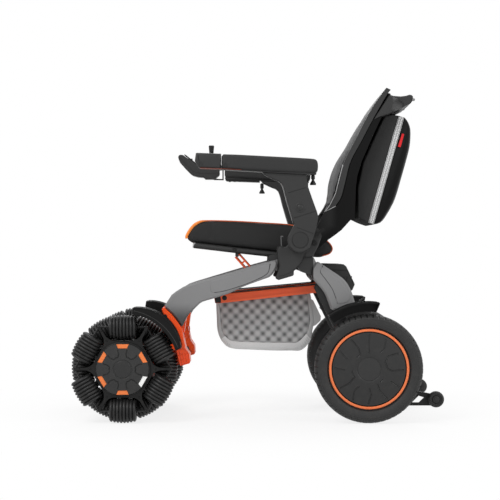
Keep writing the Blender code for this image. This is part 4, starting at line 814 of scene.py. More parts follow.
# %% Ring and cover
COVER_RADIUS = 0.1058
RIM_RING = [
    (0.1073, 0.295), (0.1077, 0.2975), (0.1088, 0.2986), (0.1134, 0.2984), (0.1146, 0.2972), (0.115, 0.295)
]
COVER_CENTRE = [(0.0, 0.2996), (0.0322, 0.2996), (0.0328, 0.3002), (0.032, 0.301), (0.0, 0.3013)]
MOTOR_BOSS = [(0.026, 0.2405), (0.026, 0.235), (0.024, 0.2335), (0.013, 0.2335), (0.013, 0.24)]
COVER_BACK = [(0.0, 0.2885), (0.105, 0.2885), (COVER_RADIUS, 0.2895)]
COVER_FACE = [(COVER_RADIUS, 0.2938), (0.1045, 0.2956), (0.1, 0.2964), (0.08, 0.2982), (0.06, 0.2997)]
COVER_FACE += [(0.045, 0.3006), (0.036, 0.301), (0.0348, 0.3004), (0.0335, 0.2998), (0.0, 0.3)]
COVER_GROOVES = [
    [(0.0995, 89), (0.067, 92), (0.045, 90)],
    [(0.0978, 61.6), (0.0701, 53), (0.0542, 56)],
    [(0.0946, 28.4), (0.0647, 34.7), (0.0493, 24.4), (0.0519, 1.5), (0.0641, -3.7)],
    [(0.1, 122), (0.069, 117), (0.049, 120), (0.0473, 138.5)],
    [(0.099, 148), (0.069, 155.5)],
    [(0.0507, 184.6), (0.0482, 208.7), (0.0684, 215), (0.099, 213)],
    [(0.0556, 239), (0.0715, 235), (0.1, 242.4)],
    [(0.0533, 270), (0.0724, 274.3), (0.0995, 268.4)],
    [(0.0482, -61.3), (0.0653, -64), (0.1, -58.2)],
    [(0.0487, -35.9), (0.0485, -49.6)],
    [(0.0641, -3.7), (0.0985, -1.0)],
    [(0.069, -30.0), (0.099, -31.0)],
    [(0.069, 182.0), (0.099, 178.0)],
]


def cover_height(radius):
    """Height of the cover's face at a radius, read between the points of its profile."""
    for (r_out, y_out), (r_in, y_in) in zip(COVER_FACE, COVER_FACE[1:]):
        if r_in <= radius <= r_out:
            return y_in + (y_out - y_in) * (radius - r_in) / max(r_out - r_in, 1e-9)
    return COVER_FACE[0][1]


def groove_tube(points, side):
    path = []
    for (r_a, a), (r_b, b) in zip(points, points[1:]):
        steps = max(2, int(abs(r_b - r_a) / 0.006 + abs(b - a) / 6))
        path += [(r_a + (r_b - r_a) * i / steps, a + (b - a) * i / steps) for i in range(steps)]
    path.append(points[-1])
    spots = []
    for radius, degrees in path:
        x, z = polar(REAR_AXLE, radius, degrees)
        spots.append((x, side * (cover_height(radius) + 0.0003), z))
    return sweep(spots, 0.0024, 8)


for name, side in SIDES.items():
    body = f"rear_wheel_{name}"
    ring = lathe(RIM_RING, REAR_AXLE, 120, side, closed=True)
    piece(f"rim_ring_{name}", ring, body, RING_PAINT, sharp=60)
    cover = lathe(COVER_BACK + COVER_FACE, REAR_AXLE, 96, side)
    cutters = [groove_tube(points, side) for points in COVER_GROOVES]
    piece(f"motor_cover_{name}", carved(cover, cutters), body, SATIN_PLASTIC, [f"hub_cover_{name}"])
    piece(f"cover_centre_{name}", lathe(COVER_CENTRE, REAR_AXLE, 72, side), body, PLASTIC)
    heads = [bolt(polar(REAR_AXLE, 0.052, 60 * i), side * 0.2405, -side, 0.004, 0.0025) for i in range(6)]
    heads.append(lathe(MOTOR_BOSS, REAR_AXLE, 36, side))
    piece(f"motor_bolts_{name}", join(*heads), body, BOLT_METAL)
print(len(COVER_GROOVES), "grooves on each cover")

# %% [markdown]
# ## Guards, forks and arms
# These are stiff mouldings and castings, and the CAD shapes are right, so they keep their nodes and get
# paint, softer edges and small fittings: rolled lips on the guards, ribs in the forks' pockets, raised panels
# and parting lines on the arms.

# %% Small helpers for panels and rounded slabs
ARM_FACE = 0.235
HUB_FACE = 0.245
STRUT_FACE = 0.164
POST_FACE = 0.2875


def raised(outline, face, side, height):
    """A flat panel that stands out from a side face. Its root lies a millimetre inside the face."""
    return slab(outline, face - side * 0.001, face + side * height)


def inset(outline, distance):
    """The outline drawn in along its own normals."""
    points = [Vector(p) for p in outline]
    area = sum(a.x * b.y - b.x * a.y for a, b in zip(points, points[1:] + points[:1]))
    turn = 1.0 if area > 0 else -1.0
    result = []
    for i, here in enumerate(points):
        ahead = (points[(i + 1) % len(points)] - here).normalized()
        behind = (here - points[i - 1]).normalized()
        bisector = ahead + behind
        normal = Vector((-bisector.y, bisector.x)).normalized() * turn
        stretch = 1.0 / max(0.5, normal.dot(Vector((-ahead.y, ahead.x)) * turn))
        result.append(tuple(here + normal * distance * stretch))
    return result


def pillow(outline, y_from, y_to, edge, steps):
    """The outline pushed through the width, with a quarter round of radius edge at both sides."""
    low, high = sorted((y_from, y_to))
    rings = []
    for i in range(steps + 1):
        turn = math.pi / 2 * i / steps
        rings.append((low + edge * (1 - math.cos(turn)), edge * (1 - math.sin(turn))))
    rings += [(low + high - y, depth) for y, depth in reversed(rings)]
    return grid(
        [[(x, y, z) for x, z in inset(outline, depth)] for y, depth in rings], wrap_columns=True, cap=True
    )


def both(build):
    """Runs a cell's piece for the left side and for the right side."""
    for name, side in SIDES.items():
        build(name, side)


print("panel and slab helpers ready")

# %% Guards over the wheels
FENDER_EDGES = {"front": (FRONT_AXLE, 0.1735, 21, 79, 0.309), "rear": (REAR_AXLE, 0.1895, 82, 126, 0.308)}
FENDER_CROWN = {"front": 0.0155, "rear": 0.0}


def guard_line(centre, radius, start, stop, crown, steps):
    """Points along a guard, higher by crown half way along."""
    points = []
    for i in range(steps + 1):
        rise = crown * math.sin(math.pi * (i / steps * 10 + 0.6) / 11.6)
        points.append(polar(centre, radius + rise, start + (stop - start) * i / steps))
    return points


def fender_trim(name, side):
    for end, (centre, radius, start, stop, lip_y) in FENDER_EDGES.items():
        body = f"{end}_frame"
        dress(f"{end}_fender_{name}", FENDER_PLASTIC, 0.0009)
        inner_y = 0.2362 if end == "front" else 0.2392
        rims = []
        for y, size in ((lip_y - 0.0012, 0.003), (inner_y + 0.0016, 0.0024)):
            line = guard_line(centre, radius + 0.0012, start, stop, FENDER_CROWN[end], 28)
            rims.append(wire(line, side * y, size, 10))
        for y in (0.262, 0.276, 0.29):
            line = guard_line(centre, radius + 0.0024, start, stop, FENDER_CROWN[end], 28)[2:-2]
            rims.append(wire(line, side * y, 0.0011))
        piece(f"{end}_guard_lips_{name}", join(*rims), body, FENDER_PLASTIC, sharp=60)
    line = guard_line(FRONT_AXLE, 0.1712, 21, 79, 0.0, 28)
    bead = wire(line, side * 0.3094, 0.0012, 8)
    piece(f"front_guard_bead_{name}", bead, "front_frame", SATIN_PLASTIC, sharp=180)
    top, low = (
        guard_line(FRONT_AXLE, radius, 21, 79, rise, 28) for radius, rise in ((0.1715, 0.0155), (0.159, 0.0))
    )
    web = slab(top + low[::-1], side * 0.2357, side * 0.238)
    piece(f"front_guard_web_{name}", web, "front_frame", FENDER_PLASTIC)


both(fender_trim)
print("guards", len(FENDER_EDGES) * 2)

# %% Forks
FORK_BOX = [(-0.2345, 0.206), (-0.208, 0.209), (-0.1985, 0.1935), (-0.197, 0.1695), (-0.2235, 0.162)]
FORK_BOLT = (-0.269, 0.303)
WASHER = [(0.0, 0.1495), (0.0175, 0.1495), (0.0175, 0.148), (0.0, 0.148)]


def fork_fittings(name, side):
    dress(f"front_fork_{name}", ORANGE_PAINT, 0.0012)
    face = side * ARM_FACE
    pocket = raised(inset(FORK_BOX, 0.0005), face, side, 0.0006)
    ribs = [slab(ribbon(FORK_BOX + FORK_BOX[:1], 0.0022), face, face + side * 0.0032)]
    for share in (0.25, 0.5, 0.75):
        top = Vector(FORK_BOX[0]).lerp(Vector(FORK_BOX[2]), share)
        low = Vector(FORK_BOX[4]).lerp(Vector(FORK_BOX[3]), share)
        ribs.append(slab(ribbon([tuple(top), tuple(low)], 0.0016), face, face + side * 0.003))
    for share in (0.36, 0.68):
        near = Vector(FORK_BOX[0]).lerp(Vector(FORK_BOX[4]), share)
        far = Vector(FORK_BOX[1]).lerp(Vector(FORK_BOX[3]), share)
        ribs.append(slab(ribbon([tuple(near), tuple(far)], 0.0016), face, face + side * 0.0028))
    piece(f"fork_ribs_{name}", join(pocket, *ribs), "front_frame", ORANGE_PAINT, bevel=0.0003, segments=1)
    fittings = [bolt(FORK_BOLT, face, side, 0.0075, 0.0035), bolt((-0.2365, 0.252), face, side, 0.0045, 0.0025)]
    fittings.append(bolt(FRONT_AXLE, side * 0.15, -side, 0.014, 0.006))
    fittings.append(lathe(WASHER, FRONT_AXLE, 32, side))
    piece(f"fork_bolts_{name}", join(*fittings), "front_frame", BLACK_METAL)
    turn = Matrix.Rotation(math.radians(-14), 2)
    steps = [math.tau * i / 28 for i in range(28)]
    oval = [Vector((0.0075 * math.cos(a), 0.0215 * math.sin(a))) for a in steps]
    ring = [tuple(Vector((-0.2215, 0.2375)) + turn @ p) for p in oval]
    oval_wire = wire(ring, side * 0.1498, 0.0016, 8, closed=True)
    piece(f"fork_oval_{name}", oval_wire, "front_frame", ORANGE_PAINT, sharp=60)


both(fork_fittings)
print("fork pockets with 5 ribs")

# %% Front arms and rear arms
FRONT_PANEL = [(-0.0335, -0.0425), (-0.0345, -0.057), (-0.0375, -0.0655), (-0.0464, -0.0742), (-0.074, -0.088)]
FRONT_PANEL += [(-0.1063, -0.101), (-0.156, -0.1172), (-0.1925, -0.124), (-0.203, -0.1185), (-0.201, -0.0935)]
FRONT_PANEL += [(-0.184, -0.0865), (-0.117, -0.0665), (-0.045, -0.045)]
REAR_PANEL = [(0.118, -0.05), (0.114, -0.063), (0.1195, -0.073), (0.129, -0.085), (0.148, -0.1124)]
REAR_PANEL += [(0.1581, -0.1372), (0.164, -0.156), (0.196, -0.15), (0.195, -0.128), (0.184, -0.106)]
REAR_PANEL += [(0.17, -0.09), (0.148, -0.073)]
FRONT_SEAM = [(-0.031, -0.0405), *FRONT_PANEL[1:8]]
REAR_SEAM = [(0.1215, -0.0455), *REAR_PANEL[1:7]]
# Frame, name, paint, panel, its height and bevel, parting line, its radius.
ARMS = [
    ("front", "arm", FRONT_ARM_PAINT, FRONT_PANEL, 0.0012, 0.0009, FRONT_SEAM, 0.001),
    ("rear", "rear", REAR_ARM_PAINT, REAR_PANEL, 0.0011, 0.0008, REAR_SEAM, 0.0009),
]


for end, label, paint, outline, height, bevel, line, size in ARMS:
    for name, side in SIDES.items():
        dress(f"{end}_arm_{name}", paint, 0.0014)
        face = side * ARM_FACE
        panel = raised(smooth(near_pivot(*outline), 2, closed=True), face, side, height)
        piece(f"{label}_panel_{name}", panel, f"{end}_frame", paint, bevel=bevel)
        parting = wire(smooth(near_pivot(*line), 3), face + side * 0.0003, size)
        piece(f"{label}_seam_{name}", parting, f"{end}_frame", GRIP_RUBBER, sharp=180)
print("panels on", len(ARMS) * 2, "arms")

# %% [markdown]
# ## Hub plates
# The dark plate at each side of the seat carries the pins. Its parting lines, the head and ring of the armrest
# pin and the thin stop rod beside the cushion are separate pieces on the CAD plate.

# %% Hub plates
HUB_SPLIT = [
    (0.0725, -0.0085), (0.0707, -0.0134), (0.0635, -0.0267), (0.047, -0.0518), (0.034, -0.0619),
    (0.0132, -0.0723), (-0.005, -0.077),
]
PIN_RING = [(0.0072, HUB_FACE), (0.009, HUB_FACE), (0.0088, HUB_FACE + 0.0012), (0.0074, HUB_FACE + 0.0012)]
HUB_LINE = [(0.0663, -0.0221), (0.0945, -0.0221)]
STOP_ROD = [
    (0.0065, 0.0372), (0.005, 0.0392), (0.0018, 0.0388), (0.0012, 0.035), (0.002, 0.01), (0.0022, -0.008),
    (0.0005, -0.0115),
]


def hub_fittings(name, side):
    dress(f"hub_plate_{name}", PLASTIC, 0.0008)
    face = side * HUB_FACE
    lines = [wire(smooth(near_pivot(*HUB_SPLIT), 3), face, 0.001), wire(near_pivot(*HUB_LINE), face, 0.0007)]
    piece(f"hub_seams_{name}", join(*lines), "front_frame", GRIP_RUBBER, sharp=180)
    pin = at_pivot(0.096, 0.02)
    heads = [bolt(pin, face, side, 0.0068, 0.002)]
    heads.append(lathe(PIN_RING, pin, 28, side, closed=True))
    piece(f"hub_bolts_{name}", join(*heads), "front_frame", BLACK_METAL)
    rod = smooth(near_pivot(*STOP_ROD), 3)
    piece(f"stop_rod_{name}", wire(rod, side * 0.1985, 0.0013, 8), "front_frame", GREY_PAINT, sharp=60)


both(hub_fittings)
print("hub line points", len(HUB_SPLIT))

# %% [markdown]
# The orange side struts have three long recessed panels, a thin black strip on top and a black plate round
# the front bolt. The ladder-shaped prop and the cross tubes keep their CAD shapes, and clamps show how the
# tubes are held.

# %% Struts, prop and tubes
STRUT_BOLTS = [((-0.1642, -0.1421), 0.0072), ((0.1125, -0.1112), 0.0062)]


def strut_fittings(name, side):
    dress(f"side_strut_{name}", STRUT_PAINT, 0.0007)
    face = side * STRUT_FACE
    strip = near_pivot(
        (-0.148, -0.127), (0.1, -0.1037), (0.112, -0.1022), (0.1125, -0.0995), (0.1, -0.1008),
        (-0.149, -0.1238),
    )
    end = near_pivot((-0.1935, -0.1425), (-0.191, -0.157), (-0.1745, -0.156), (-0.1765, -0.1375))
    cover = near_pivot((0.104, -0.1045), (0.1235, -0.1005), (0.124, -0.118), (0.108, -0.1235))
    plates = [slab(strip, side * 0.1435, side * 0.1625)]
    plates += [raised(end, face, side, 0.0012), raised(cover, face, side, 0.001)]
    piece(f"strut_trim_{name}", join(*plates), "struts", BLACK_METAL, bevel=0.0005, segments=1)
    heads = [bolt(at_pivot(*place), face, side, size, 0.0016) for place, size in STRUT_BOLTS]
    piece(f"strut_bolts_{name}", join(*heads), "struts", BLACK_METAL)


both(strut_fittings)
dress("seat_prop", STRUT_PAINT, 0.0005)
FRONT_TUBE = (FRONT_AXLE[0] + 0.1205, FRONT_AXLE[1] + 0.165)
CLAMPS = [("main", at_pivot(-0.08, -0.07), 0.016, 0.166), ("front", FRONT_TUBE, 0.012, 0.136)]
for label, centre, radius, y in CLAMPS:
    dress(f"{label}_cross_tube", BLACK_METAL)
    low, high = radius - 0.001, radius + 0.003
    profile = [(low, y - 0.009), (high, y - 0.008), (high, y + 0.008), (low, y + 0.009)]
    rings = [lathe(profile, centre, 36, side, closed=True) for side in SIDES.values()]
    piece(f"{label}_tube_clamps", join(*rings), "front_frame", PLASTIC, bevel=0.0005)
print("struts and tubes dressed")

# %% [markdown]
# ## Seat
# The cushion is a foam pad in a stretched cover, with an orange piping along its upper edge. The cover is
# made as fabric behaves: a slightly small loft is remeshed finely, then swells under pressure in Blender's
# cloth solver. A cap on the movement keeps it inside the space that its CAD solid holds.

# %% Cloth helper


def loft(rings):
    """A closed skin over outlines at places along Y."""
    return grid([[(x, y, z) for x, z in outline] for y, outline in rings], wrap_columns=True, cap=True)


COVER_CLOTH = {
    "quality": 4, "mass": 0.3, "tension_stiffness": 25, "compression_stiffness": 25, "shear_stiffness": 10,
    "bending_stiffness": 4, "use_pressure": True, "uniform_pressure_force": 4.0,
}
COVER_VOXEL = 0.0065
COVER_CAP = 0.003
COVER_FRAMES = 20


def stuffed(mesh):
    """The mesh swollen by the cloth solver, with each point's movement capped."""
    data = bpy.data.meshes.new("pad")
    mesh.to_mesh(data)
    mesh.free()
    pad = bpy.data.objects.new("pad", data)
    scene = bpy.context.scene
    scene.collection.objects.link(pad)
    fine = pad.modifiers.new("fine", "REMESH")
    fine.mode = "VOXEL"
    fine.voxel_size = COVER_VOXEL
    fine.use_smooth_shade = True
    bpy.context.view_layer.update()
    even = bpy.data.meshes.new_from_object(pad.evaluated_get(bpy.context.evaluated_depsgraph_get()))
    pad.modifiers.clear()
    pad.data = even
    bpy.data.meshes.remove(data)
    start = [v.co.copy() for v in even.vertices]
    ends = start
    cover = pad.modifiers.new("cover", "CLOTH")
    for key, value in COVER_CLOTH.items():
        setattr(cover.settings, key, value)
    cover.settings.effector_weights.gravity = 0.0
    cover.point_cache.frame_start = 1
    cover.point_cache.frame_end = COVER_FRAMES
    for step in range(1, COVER_FRAMES + 1):
        scene.frame_set(step)
    swollen = pad.evaluated_get(bpy.context.evaluated_depsgraph_get()).to_mesh()
    ends = [v.co.copy() for v in swollen.vertices]
    pad.modifiers.clear()
    scene.frame_set(1)
    result = bmesh.new()
    result.from_mesh(even)
    result.verts.ensure_lookup_table()
    for vert, a, b in zip(result.verts, start, ends):
        move = b - a
        vert.co = a + (move.normalized() * min(move.length, COVER_CAP) if move.length > 1e-9 else move)
    for _ in range(3):
        bmesh.ops.smooth_vert(
            result, verts=result.verts, factor=0.5, use_axis_x=True, use_axis_y=True, use_axis_z=True
        )
    bpy.data.objects.remove(pad, do_unlink=True)
    bpy.data.meshes.remove(even)
    return result


def sewn(mesh, depth_at):
    """Presses sewn lines into a pad. depth_at gives how deep each point sinks along its normal."""
    mesh.normal_update()
    moves = [(vert, vert.normal * -depth_at(vert.co)) for vert in mesh.verts]
    for vert, move in moves:
        vert.co += move
    return mesh


def line_press(distance, width, depth):
    """How far a sewn line presses in, at a distance from it."""
    return depth * math.exp(-((distance / width) ** 2))


print("cloth helper ready")

# %% Seat cushion
SEAT_HALF = 0.183
SEAT_OUTLINE = [(-0.266, 0.0235), (-0.277, 0.037), (-0.263, 0.063), (-0.245, 0.079), (-0.219, 0.086)]
SEAT_OUTLINE += [(-0.144, 0.085), (-0.055, 0.08), (0.04, 0.072), (0.103, 0.048), (0.138, 0.026)]
SEAT_OUTLINE += [(0.153, 0.005), (0.145, -0.012), (0.123, -0.0195)]
seat_curve = smooth(near_pivot(*SEAT_OUTLINE), 4)
SEAT_LOOSE = [(-0.268, 0.0195), (-0.282, 0.035), (-0.268, 0.065), (-0.247, 0.08), (-0.219, 0.086)]
SEAT_LOOSE += [(-0.144, 0.085), (-0.055, 0.08), (0.04, 0.0725), (0.105, 0.049), (0.141, 0.0275)]
SEAT_LOOSE += [(0.158, 0.004), (0.148, -0.015), (0.124, -0.0235)]
seat_start = inset(smooth(near_pivot(*SEAT_LOOSE), 4), 0.002)
rings = []
HALF_DRAWS = [(0.5, 0.0), (0.95, 0.0012), (0.985, 0.005), (1.0, 0.012)]
for share, draw in [(-share, draw) for share, draw in HALF_DRAWS[::-1]] + HALF_DRAWS:
    rings.append((share * (SEAT_HALF - 0.0015), inset(seat_start, draw)))
pad = stuffed(loft(rings))


def seat_seams(place):
    """Two long channels, a cross seam behind the knees and the seam round the border."""
    if place.z <= PIVOT[1] + 0.03:
        return 0.0
    depth = line_press(abs(abs(place.y) - 0.062), 0.005, 0.0032)
    depth += line_press(abs(place.x + 0.135 - PIVOT[0] + 0.067), 0.005, 0.003)
    return depth + line_press(abs(abs(place.y) - 0.158), 0.004, 0.002)


SEAT_CLOTH = cloth("seat_cloth", 0.02, pitch=0.002, contrast=0.25, depth=0.0003)


def piping_painted_shade(tree, colour):
    """Bright at the seat's front edge, with painted shade making it darker and redder along the top and rear.
    """
    parts = object_axes(tree)
    return blend_colours(
        tree, ramp(tree, parts[0], PIVOT[0] - 0.245, PIVOT[0] - 0.2), colour, (0.52, 0.085, 0.014, 1.0)
    )


# The piping's colour carries painted shade along the top and rear of the seat.
PIPING = hard(
    "orange_piping", (0.83, 0.24, 0.035), 0.5, grain=0.0016, depth=0.0002, change=0.08, dust=0.02,
    painted_shade=piping_painted_shade,
)
cushion = piece("seat_pad", sewn(pad, seat_seams), "seat", SEAT_CLOTH, ["seat_cushion"], sharp=180, subdivide=1)
print("seat pad points", len(cushion.data.vertices))

# %% Seat piping
for name, side in SIDES.items():
    edge = inset(seat_curve, 0.0012)
    path = [(x, side * (SEAT_HALF - 0.0085), z) for x, z in edge[3:]]
    sizes = [0.0016 + 0.0026 * min(1.0, max(0.0, (PIVOT[0] - 0.215 - x) / 0.03)) for x, _, _ in path]
    bead = sweep(path, lambda t: sizes[round(t * (len(sizes) - 1))], 10)
    piece(f"seat_piping_{name}", bead, "seat", PIPING, sharp=180)
print("piping laid")

# %% Seat tray
TRAY_RAIL = [(-0.2535, 0.0128), (-0.245, 0.0118), (-0.135, -0.0012), (-0.03, -0.0128), (0.045, -0.022)]
RAIL_Y = 0.1785
dress("seat_pan", SATIN_PLASTIC, 0.001)
for name, side in SIDES.items():
    tube = wire(near_pivot(*TRAY_RAIL), side * RAIL_Y, 0.0087, 14)
    piece(f"tray_rail_{name}", tube, "seat", SATIN_PLASTIC, sharp=60)
    tip = at_pivot(-0.2535, 0.0135)
    cap = wire(moved(tip, [(-0.0035, 0.0003), (0.004, -0.0002)]), side * RAIL_Y, 0.0083, 16)
    piece(f"rail_tip_{name}", cap, "seat", BARE_METAL, bevel=0.0012)
    head = bolt(at_pivot(-0.1346, 0.001), side * 0.1862, side, 0.0062, 0.0022)
    piece(f"tray_bolt_{name}", head, "seat", BLACK_METAL)
slats = []
for i in range(5):
    x = PIVOT[0] - 0.215 + i * 0.062
    z = PIVOT[1] - 0.0205 - (x - PIVOT[0]) * 0.117
    slat = [(x, z - 0.001), (x + 0.022, z - 0.0036), (x + 0.022, z + 0.0014), (x, z + 0.004)]
    slats.append(pillow(slat, -0.168, 0.168, 0.001, 2))
piece("tray_slats", join(*slats), "seat", BLACK_METAL)
print("tray dressed")

# %% [markdown]
# ## Armrests
# The pads are moulded foam with a skin, so they are built as rounded slabs. A narrower base under each one
# leaves a shadow line between pad and arm. The post keeps its CAD shape under round side covers with parting
# lines.

# %% Arm pads
PAD_Y = (0.24, 0.3)
PAD_CURVE = [
    (-0.1712, 0.2735), (-0.17, 0.274), (0.083, 0.2608), (0.0965, 0.2594), (0.103, 0.254), (0.105, 0.244)
]
PAD_CURVE += [
    (0.105, 0.23), (0.103, 0.2215), (0.0965, 0.2178), (0.085, 0.218), (-0.04, 0.2235), (-0.17, 0.2312),
    (-0.1712, 0.2316),
]
PAD_BASE = [
    (-0.17, 0.2318), (-0.04, 0.224), (0.1, 0.2186), (0.1, 0.215), (0.084, 0.2142), (-0.04, 0.2208),
    (-0.17, 0.229),
]
PAD_SKIN = cloth("pad_skin", 0.021, 0.62, pitch=0.0011, contrast=0.1, depth=0.00012)


def arch(place, y, side):
    """A small arch-shaped mark, as round a hidden screw."""
    bend = [
        (place[0] + 0.004 * math.cos(a), place[1] + 0.0052 * math.sin(a))
        for a in (math.pi * i / 10 for i in range(11))
    ]
    path = [(bend[0][0], bend[0][1] - 0.0048), *bend, (bend[-1][0], bend[-1][1] - 0.0048)]
    return wire(path, y + side * 0.0001, 0.0007)


def arm_pads(name, side):
    low, high = side * PAD_Y[0], side * PAD_Y[1]
    body = f"armrest_{name}"
    foam = pillow(near_pivot(*PAD_CURVE), low, high, 0.0085, 5)
    pad = piece(f"pad_{name}", foam, body, PAD_SKIN, [f"arm_pad_{name}"], sharp=180, subdivide=1)
    piece(f"pad_seams_{name}", arch(at_pivot(-0.1596, 0.2405), high, side), body, GRIP_RUBBER, sharp=180)
    base = slab(near_pivot(*PAD_BASE), low + side * 0.006, high - side * 0.006)
    piece(f"pad_base_{name}", base, body, SATIN_PLASTIC, bevel=0.0006)


both(arm_pads)
module = near_pivot(
    (-0.244, 0.2757), (-0.24, 0.2765), (-0.1726, 0.2741), (-0.1726, 0.2314), (-0.233, 0.2333),
    (-0.237, 0.2355), (-0.2465, 0.251), (-0.2472, 0.2545),
)
left = SIDES["left"]
front_block = pillow(module, left * PAD_Y[0], left * PAD_Y[1], 0.007, 5)
piece("module_left", front_block, "armrest_left", PLASTIC, ["arm_module_left"], sharp=50)
mark = arch(at_pivot(-0.23, 0.245), left * PAD_Y[1], left)
piece("module_mark_left", mark, "armrest_left", GRIP_RUBBER, sharp=180)
under = near_pivot(
    (-0.2325, 0.2336), (-0.1726, 0.2318), (-0.114, 0.2288), (-0.114, 0.2272), (-0.1726, 0.2302),
    (-0.2325, 0.232),
)
WARM_EDGE = hard("warm_edge", (0.16, 0.035, 0.02), 0.5, grain=0.001)
strip = slab(under, left * 0.2515, left * 0.2988)
piece("pad_edge_left", strip, "armrest_left", WARM_EDGE, bevel=0.0004, segments=1)
RAIL = [(-0.1686, 0.2325), (-0.058, 0.2265), (-0.058, 0.2165), (-0.164, 0.2205), (-0.1686, 0.224)]
rail = pillow(near_pivot(*RAIL), 0.2455, 0.2945, 0.0012, 2)
feet = [
    pillow(
        near_pivot((x, 0.2214), (x + 0.006, 0.221), (x + 0.006, 0.218), (x, 0.2184)), 0.262, 0.278, 0.0006, 2
    )
    for x in (-0.158, -0.142, -0.126)
]
piece("controller_rail", join(rail, *feet), "armrest_right", BLACK_METAL, sharp=45)
print("arm pads, module and rail")

# %% Arm posts
POST_LINES = [
    [(0.019, 0.1625), (0.0705, 0.1776)], [(0.036, 0.0905), (0.0995, 0.1105)],
    [(0.044, 0.0635), (0.0985, 0.0435)],
]
BOSS = at_pivot(0.054, 0.0275)
BUTTON = at_pivot(0.0545, 0.1205)


def post_fittings(name, side):
    body = f"armrest_{name}"
    dress(f"armrest_post_{name}", PLASTIC, 0.0012)
    face = side * POST_FACE
    lines = [wire(near_pivot(*line), face + side * 0.0001, 0.0008) for line in POST_LINES]
    lines.append(wire(arc(BOSS, 0.0235, 0, 345, 30), face, 0.0007, closed=True))
    piece(f"post_seams_{name}", join(*lines), body, GRIP_RUBBER, sharp=180)
    cover = [(0.0, 0.2868), (0.0222, 0.2868), (0.0226, 0.2878), (0.0215, 0.2888), (0.0, 0.2892)]
    rounds = [lathe(cover, BOSS, 48, side)]
    button = [
        (0.0, 0.287), (0.0142, 0.287), (0.0142, 0.2882), (0.0128, 0.2888), (0.0095, 0.2886), (0.0088, 0.288),
        (0.008, 0.2886), (0.0, 0.289),
    ]
    rounds.append(lathe(button, BUTTON, 40, side))
    piece(f"post_covers_{name}", join(*rounds), body, SATIN_PLASTIC)
    # The thin bright metal line along the post's front edge is a painted highlight.
    edge = smooth(
        near_pivot((-0.044, 0.2125), (-0.018, 0.2005), (0.002, 0.1865), (0.016, 0.138), (0.035, 0.074)), 4
    )
    highlight_wire = wire(moved((-0.0004, 0.0), edge), side * 0.256, 0.0011)
    piece(f"post_edge_{name}", highlight_wire, body, BARE_METAL, sharp=180)


both(post_fittings)
print("post lines", len(POST_LINES))

# %% [markdown]
# ## Backrest
# A dark tray wraps a padded cover of grey cloth, and a black frame stands behind both. The tray's side walls
# stop short of the cushion's front, so a strip of the cover shows from the side with a pale edge line. The
# tray is a skin over rings of points, one ring for each step down the back, with the cushion's room cut out
# of it. The cushion is stuffed like the seat.

# %% Back lines
BACK_FRONT = [(0.308, 0.472), (0.272, 0.426), (0.236, 0.37), (0.207, 0.319), (0.177, 0.272)]
BACK_FRONT += [(0.159, 0.233), (0.147, 0.197), (0.143, 0.173), (0.135, 0.138), (0.118, 0.105)]
BACK_REAR = [(0.321, 0.466), (0.309, 0.45), (0.269, 0.38), (0.236, 0.317), (0.204, 0.257)]
BACK_REAR += [(0.189, 0.197), (0.177, 0.153), (0.16, 0.127)]
COVER_SHOWS = [0.0, 0.1, 0.24, 0.33, 0.43, 0.48, 0.5, 0.48, 0.4, 0.28]
PAD_SINKS = [0.0, 0.0, 0.0, 0.0, 0.02, 0.06, 0.14, 0.2, 0.24, 0.2]
TRAY_HALF = 0.2036
back_front = smooth(near_pivot(*BACK_FRONT), 4)
back_rear = smooth(near_pivot(*BACK_REAR), 4)


def nearest(here, a, b):
    """The place on the straight line from a to b that is nearest to a point."""
    t = max(0.0, min(1.0, (here - a).dot(b - a) / (b - a).length_squared))
    return a.lerp(b, t)


def toward(front, rear, shares):
    """Each point of one line moved part of the way to the nearest place on another."""
    result = []
    for here, share in zip(map(Vector, front), shares):
        options = [nearest(here, Vector(a), Vector(b)) for a, b in zip(rear, rear[1:])]
        result.append(tuple(here.lerp(min(options, key=lambda p: (p - here).length), share)))
    return result


def spread(values, count):
    """Values stretched to another count, straight between the given ones."""
    result = []
    for i in range(count):
        place = i * (len(values) - 1) / (count - 1)
        low = min(int(place), len(values) - 2)
        result.append(values[low] + (values[low + 1] - values[low]) * (place - low))
    return result


rim_line = toward(back_front, back_rear, spread(COVER_SHOWS, len(back_front)))
print("back lines", len(back_front), len(back_rear))

# %% Tray and frame
TRAY_EDGE = 0.0025
ROOM_HALF = 0.1825
ROOM_FROM, PALE_FROM = 6, 18  # points of the front line, from the top
rear_x, rear_z = (spread([point[axis] for point in back_rear], len(rim_line)) for axis in (0, 1))
rows = []
for near, far in zip(rim_line, zip(rear_x, rear_z)):
    near, far = Vector(near), Vector(far)
    step = (far - near).normalized() * TRAY_EDGE
    flank = TRAY_HALF - TRAY_EDGE
    ring = [(near, -flank), (near, flank), (near + step, TRAY_HALF), (far - step, TRAY_HALF)]
    ring += [(far, flank), (far, -flank), (far - step, -TRAY_HALF), (near + step, -TRAY_HALF)]
    rows.append([(place[0], y, place[1]) for place, y in ring])
tray = grid(rows, wrap_columns=True, cap=True)
room_front = toward(back_front, back_rear, [-0.8] * len(back_front))
room_back = toward(back_front, back_rear, [0.6] * len(back_front))
room_line = room_front[ROOM_FROM:] + near_pivot((0.085, 0.085), (0.136, 0.1)) + room_back[ROOM_FROM:][::-1]
room = slab(room_line, -ROOM_HALF, ROOM_HALF)
piece("back_tray", carved(tray, [room]), "backrest", PLASTIC, ["back_shell"], sharp=40, flat_faces=True)
# The black frame's finish adds painted shade along its edge and at its rear.
dress("back_frame", FRAME_PLASTIC, 0.0012)
PALE_EDGE = hard("pale_edge", 0.42, 0.4, grain=0.001, dust=0.0)
pale_run = rim_line[PALE_FROM:]
lines = [wire(pale_run, side * (TRAY_HALF - 0.0006), 0.0011, 6) for side in SIDES.values()]
for side in SIDES.values():
    lip = [rim_line[-1], tuple(Vector(rim_line[-1]).lerp(Vector(back_rear[-1]), 0.5)), back_rear[-1]]
    lines.append(wire(lip, side * (TRAY_HALF - 0.0006), 0.001))
piece("tray_edge_line", join(*lines), "backrest", PALE_EDGE, sharp=180)
print("tray carved")

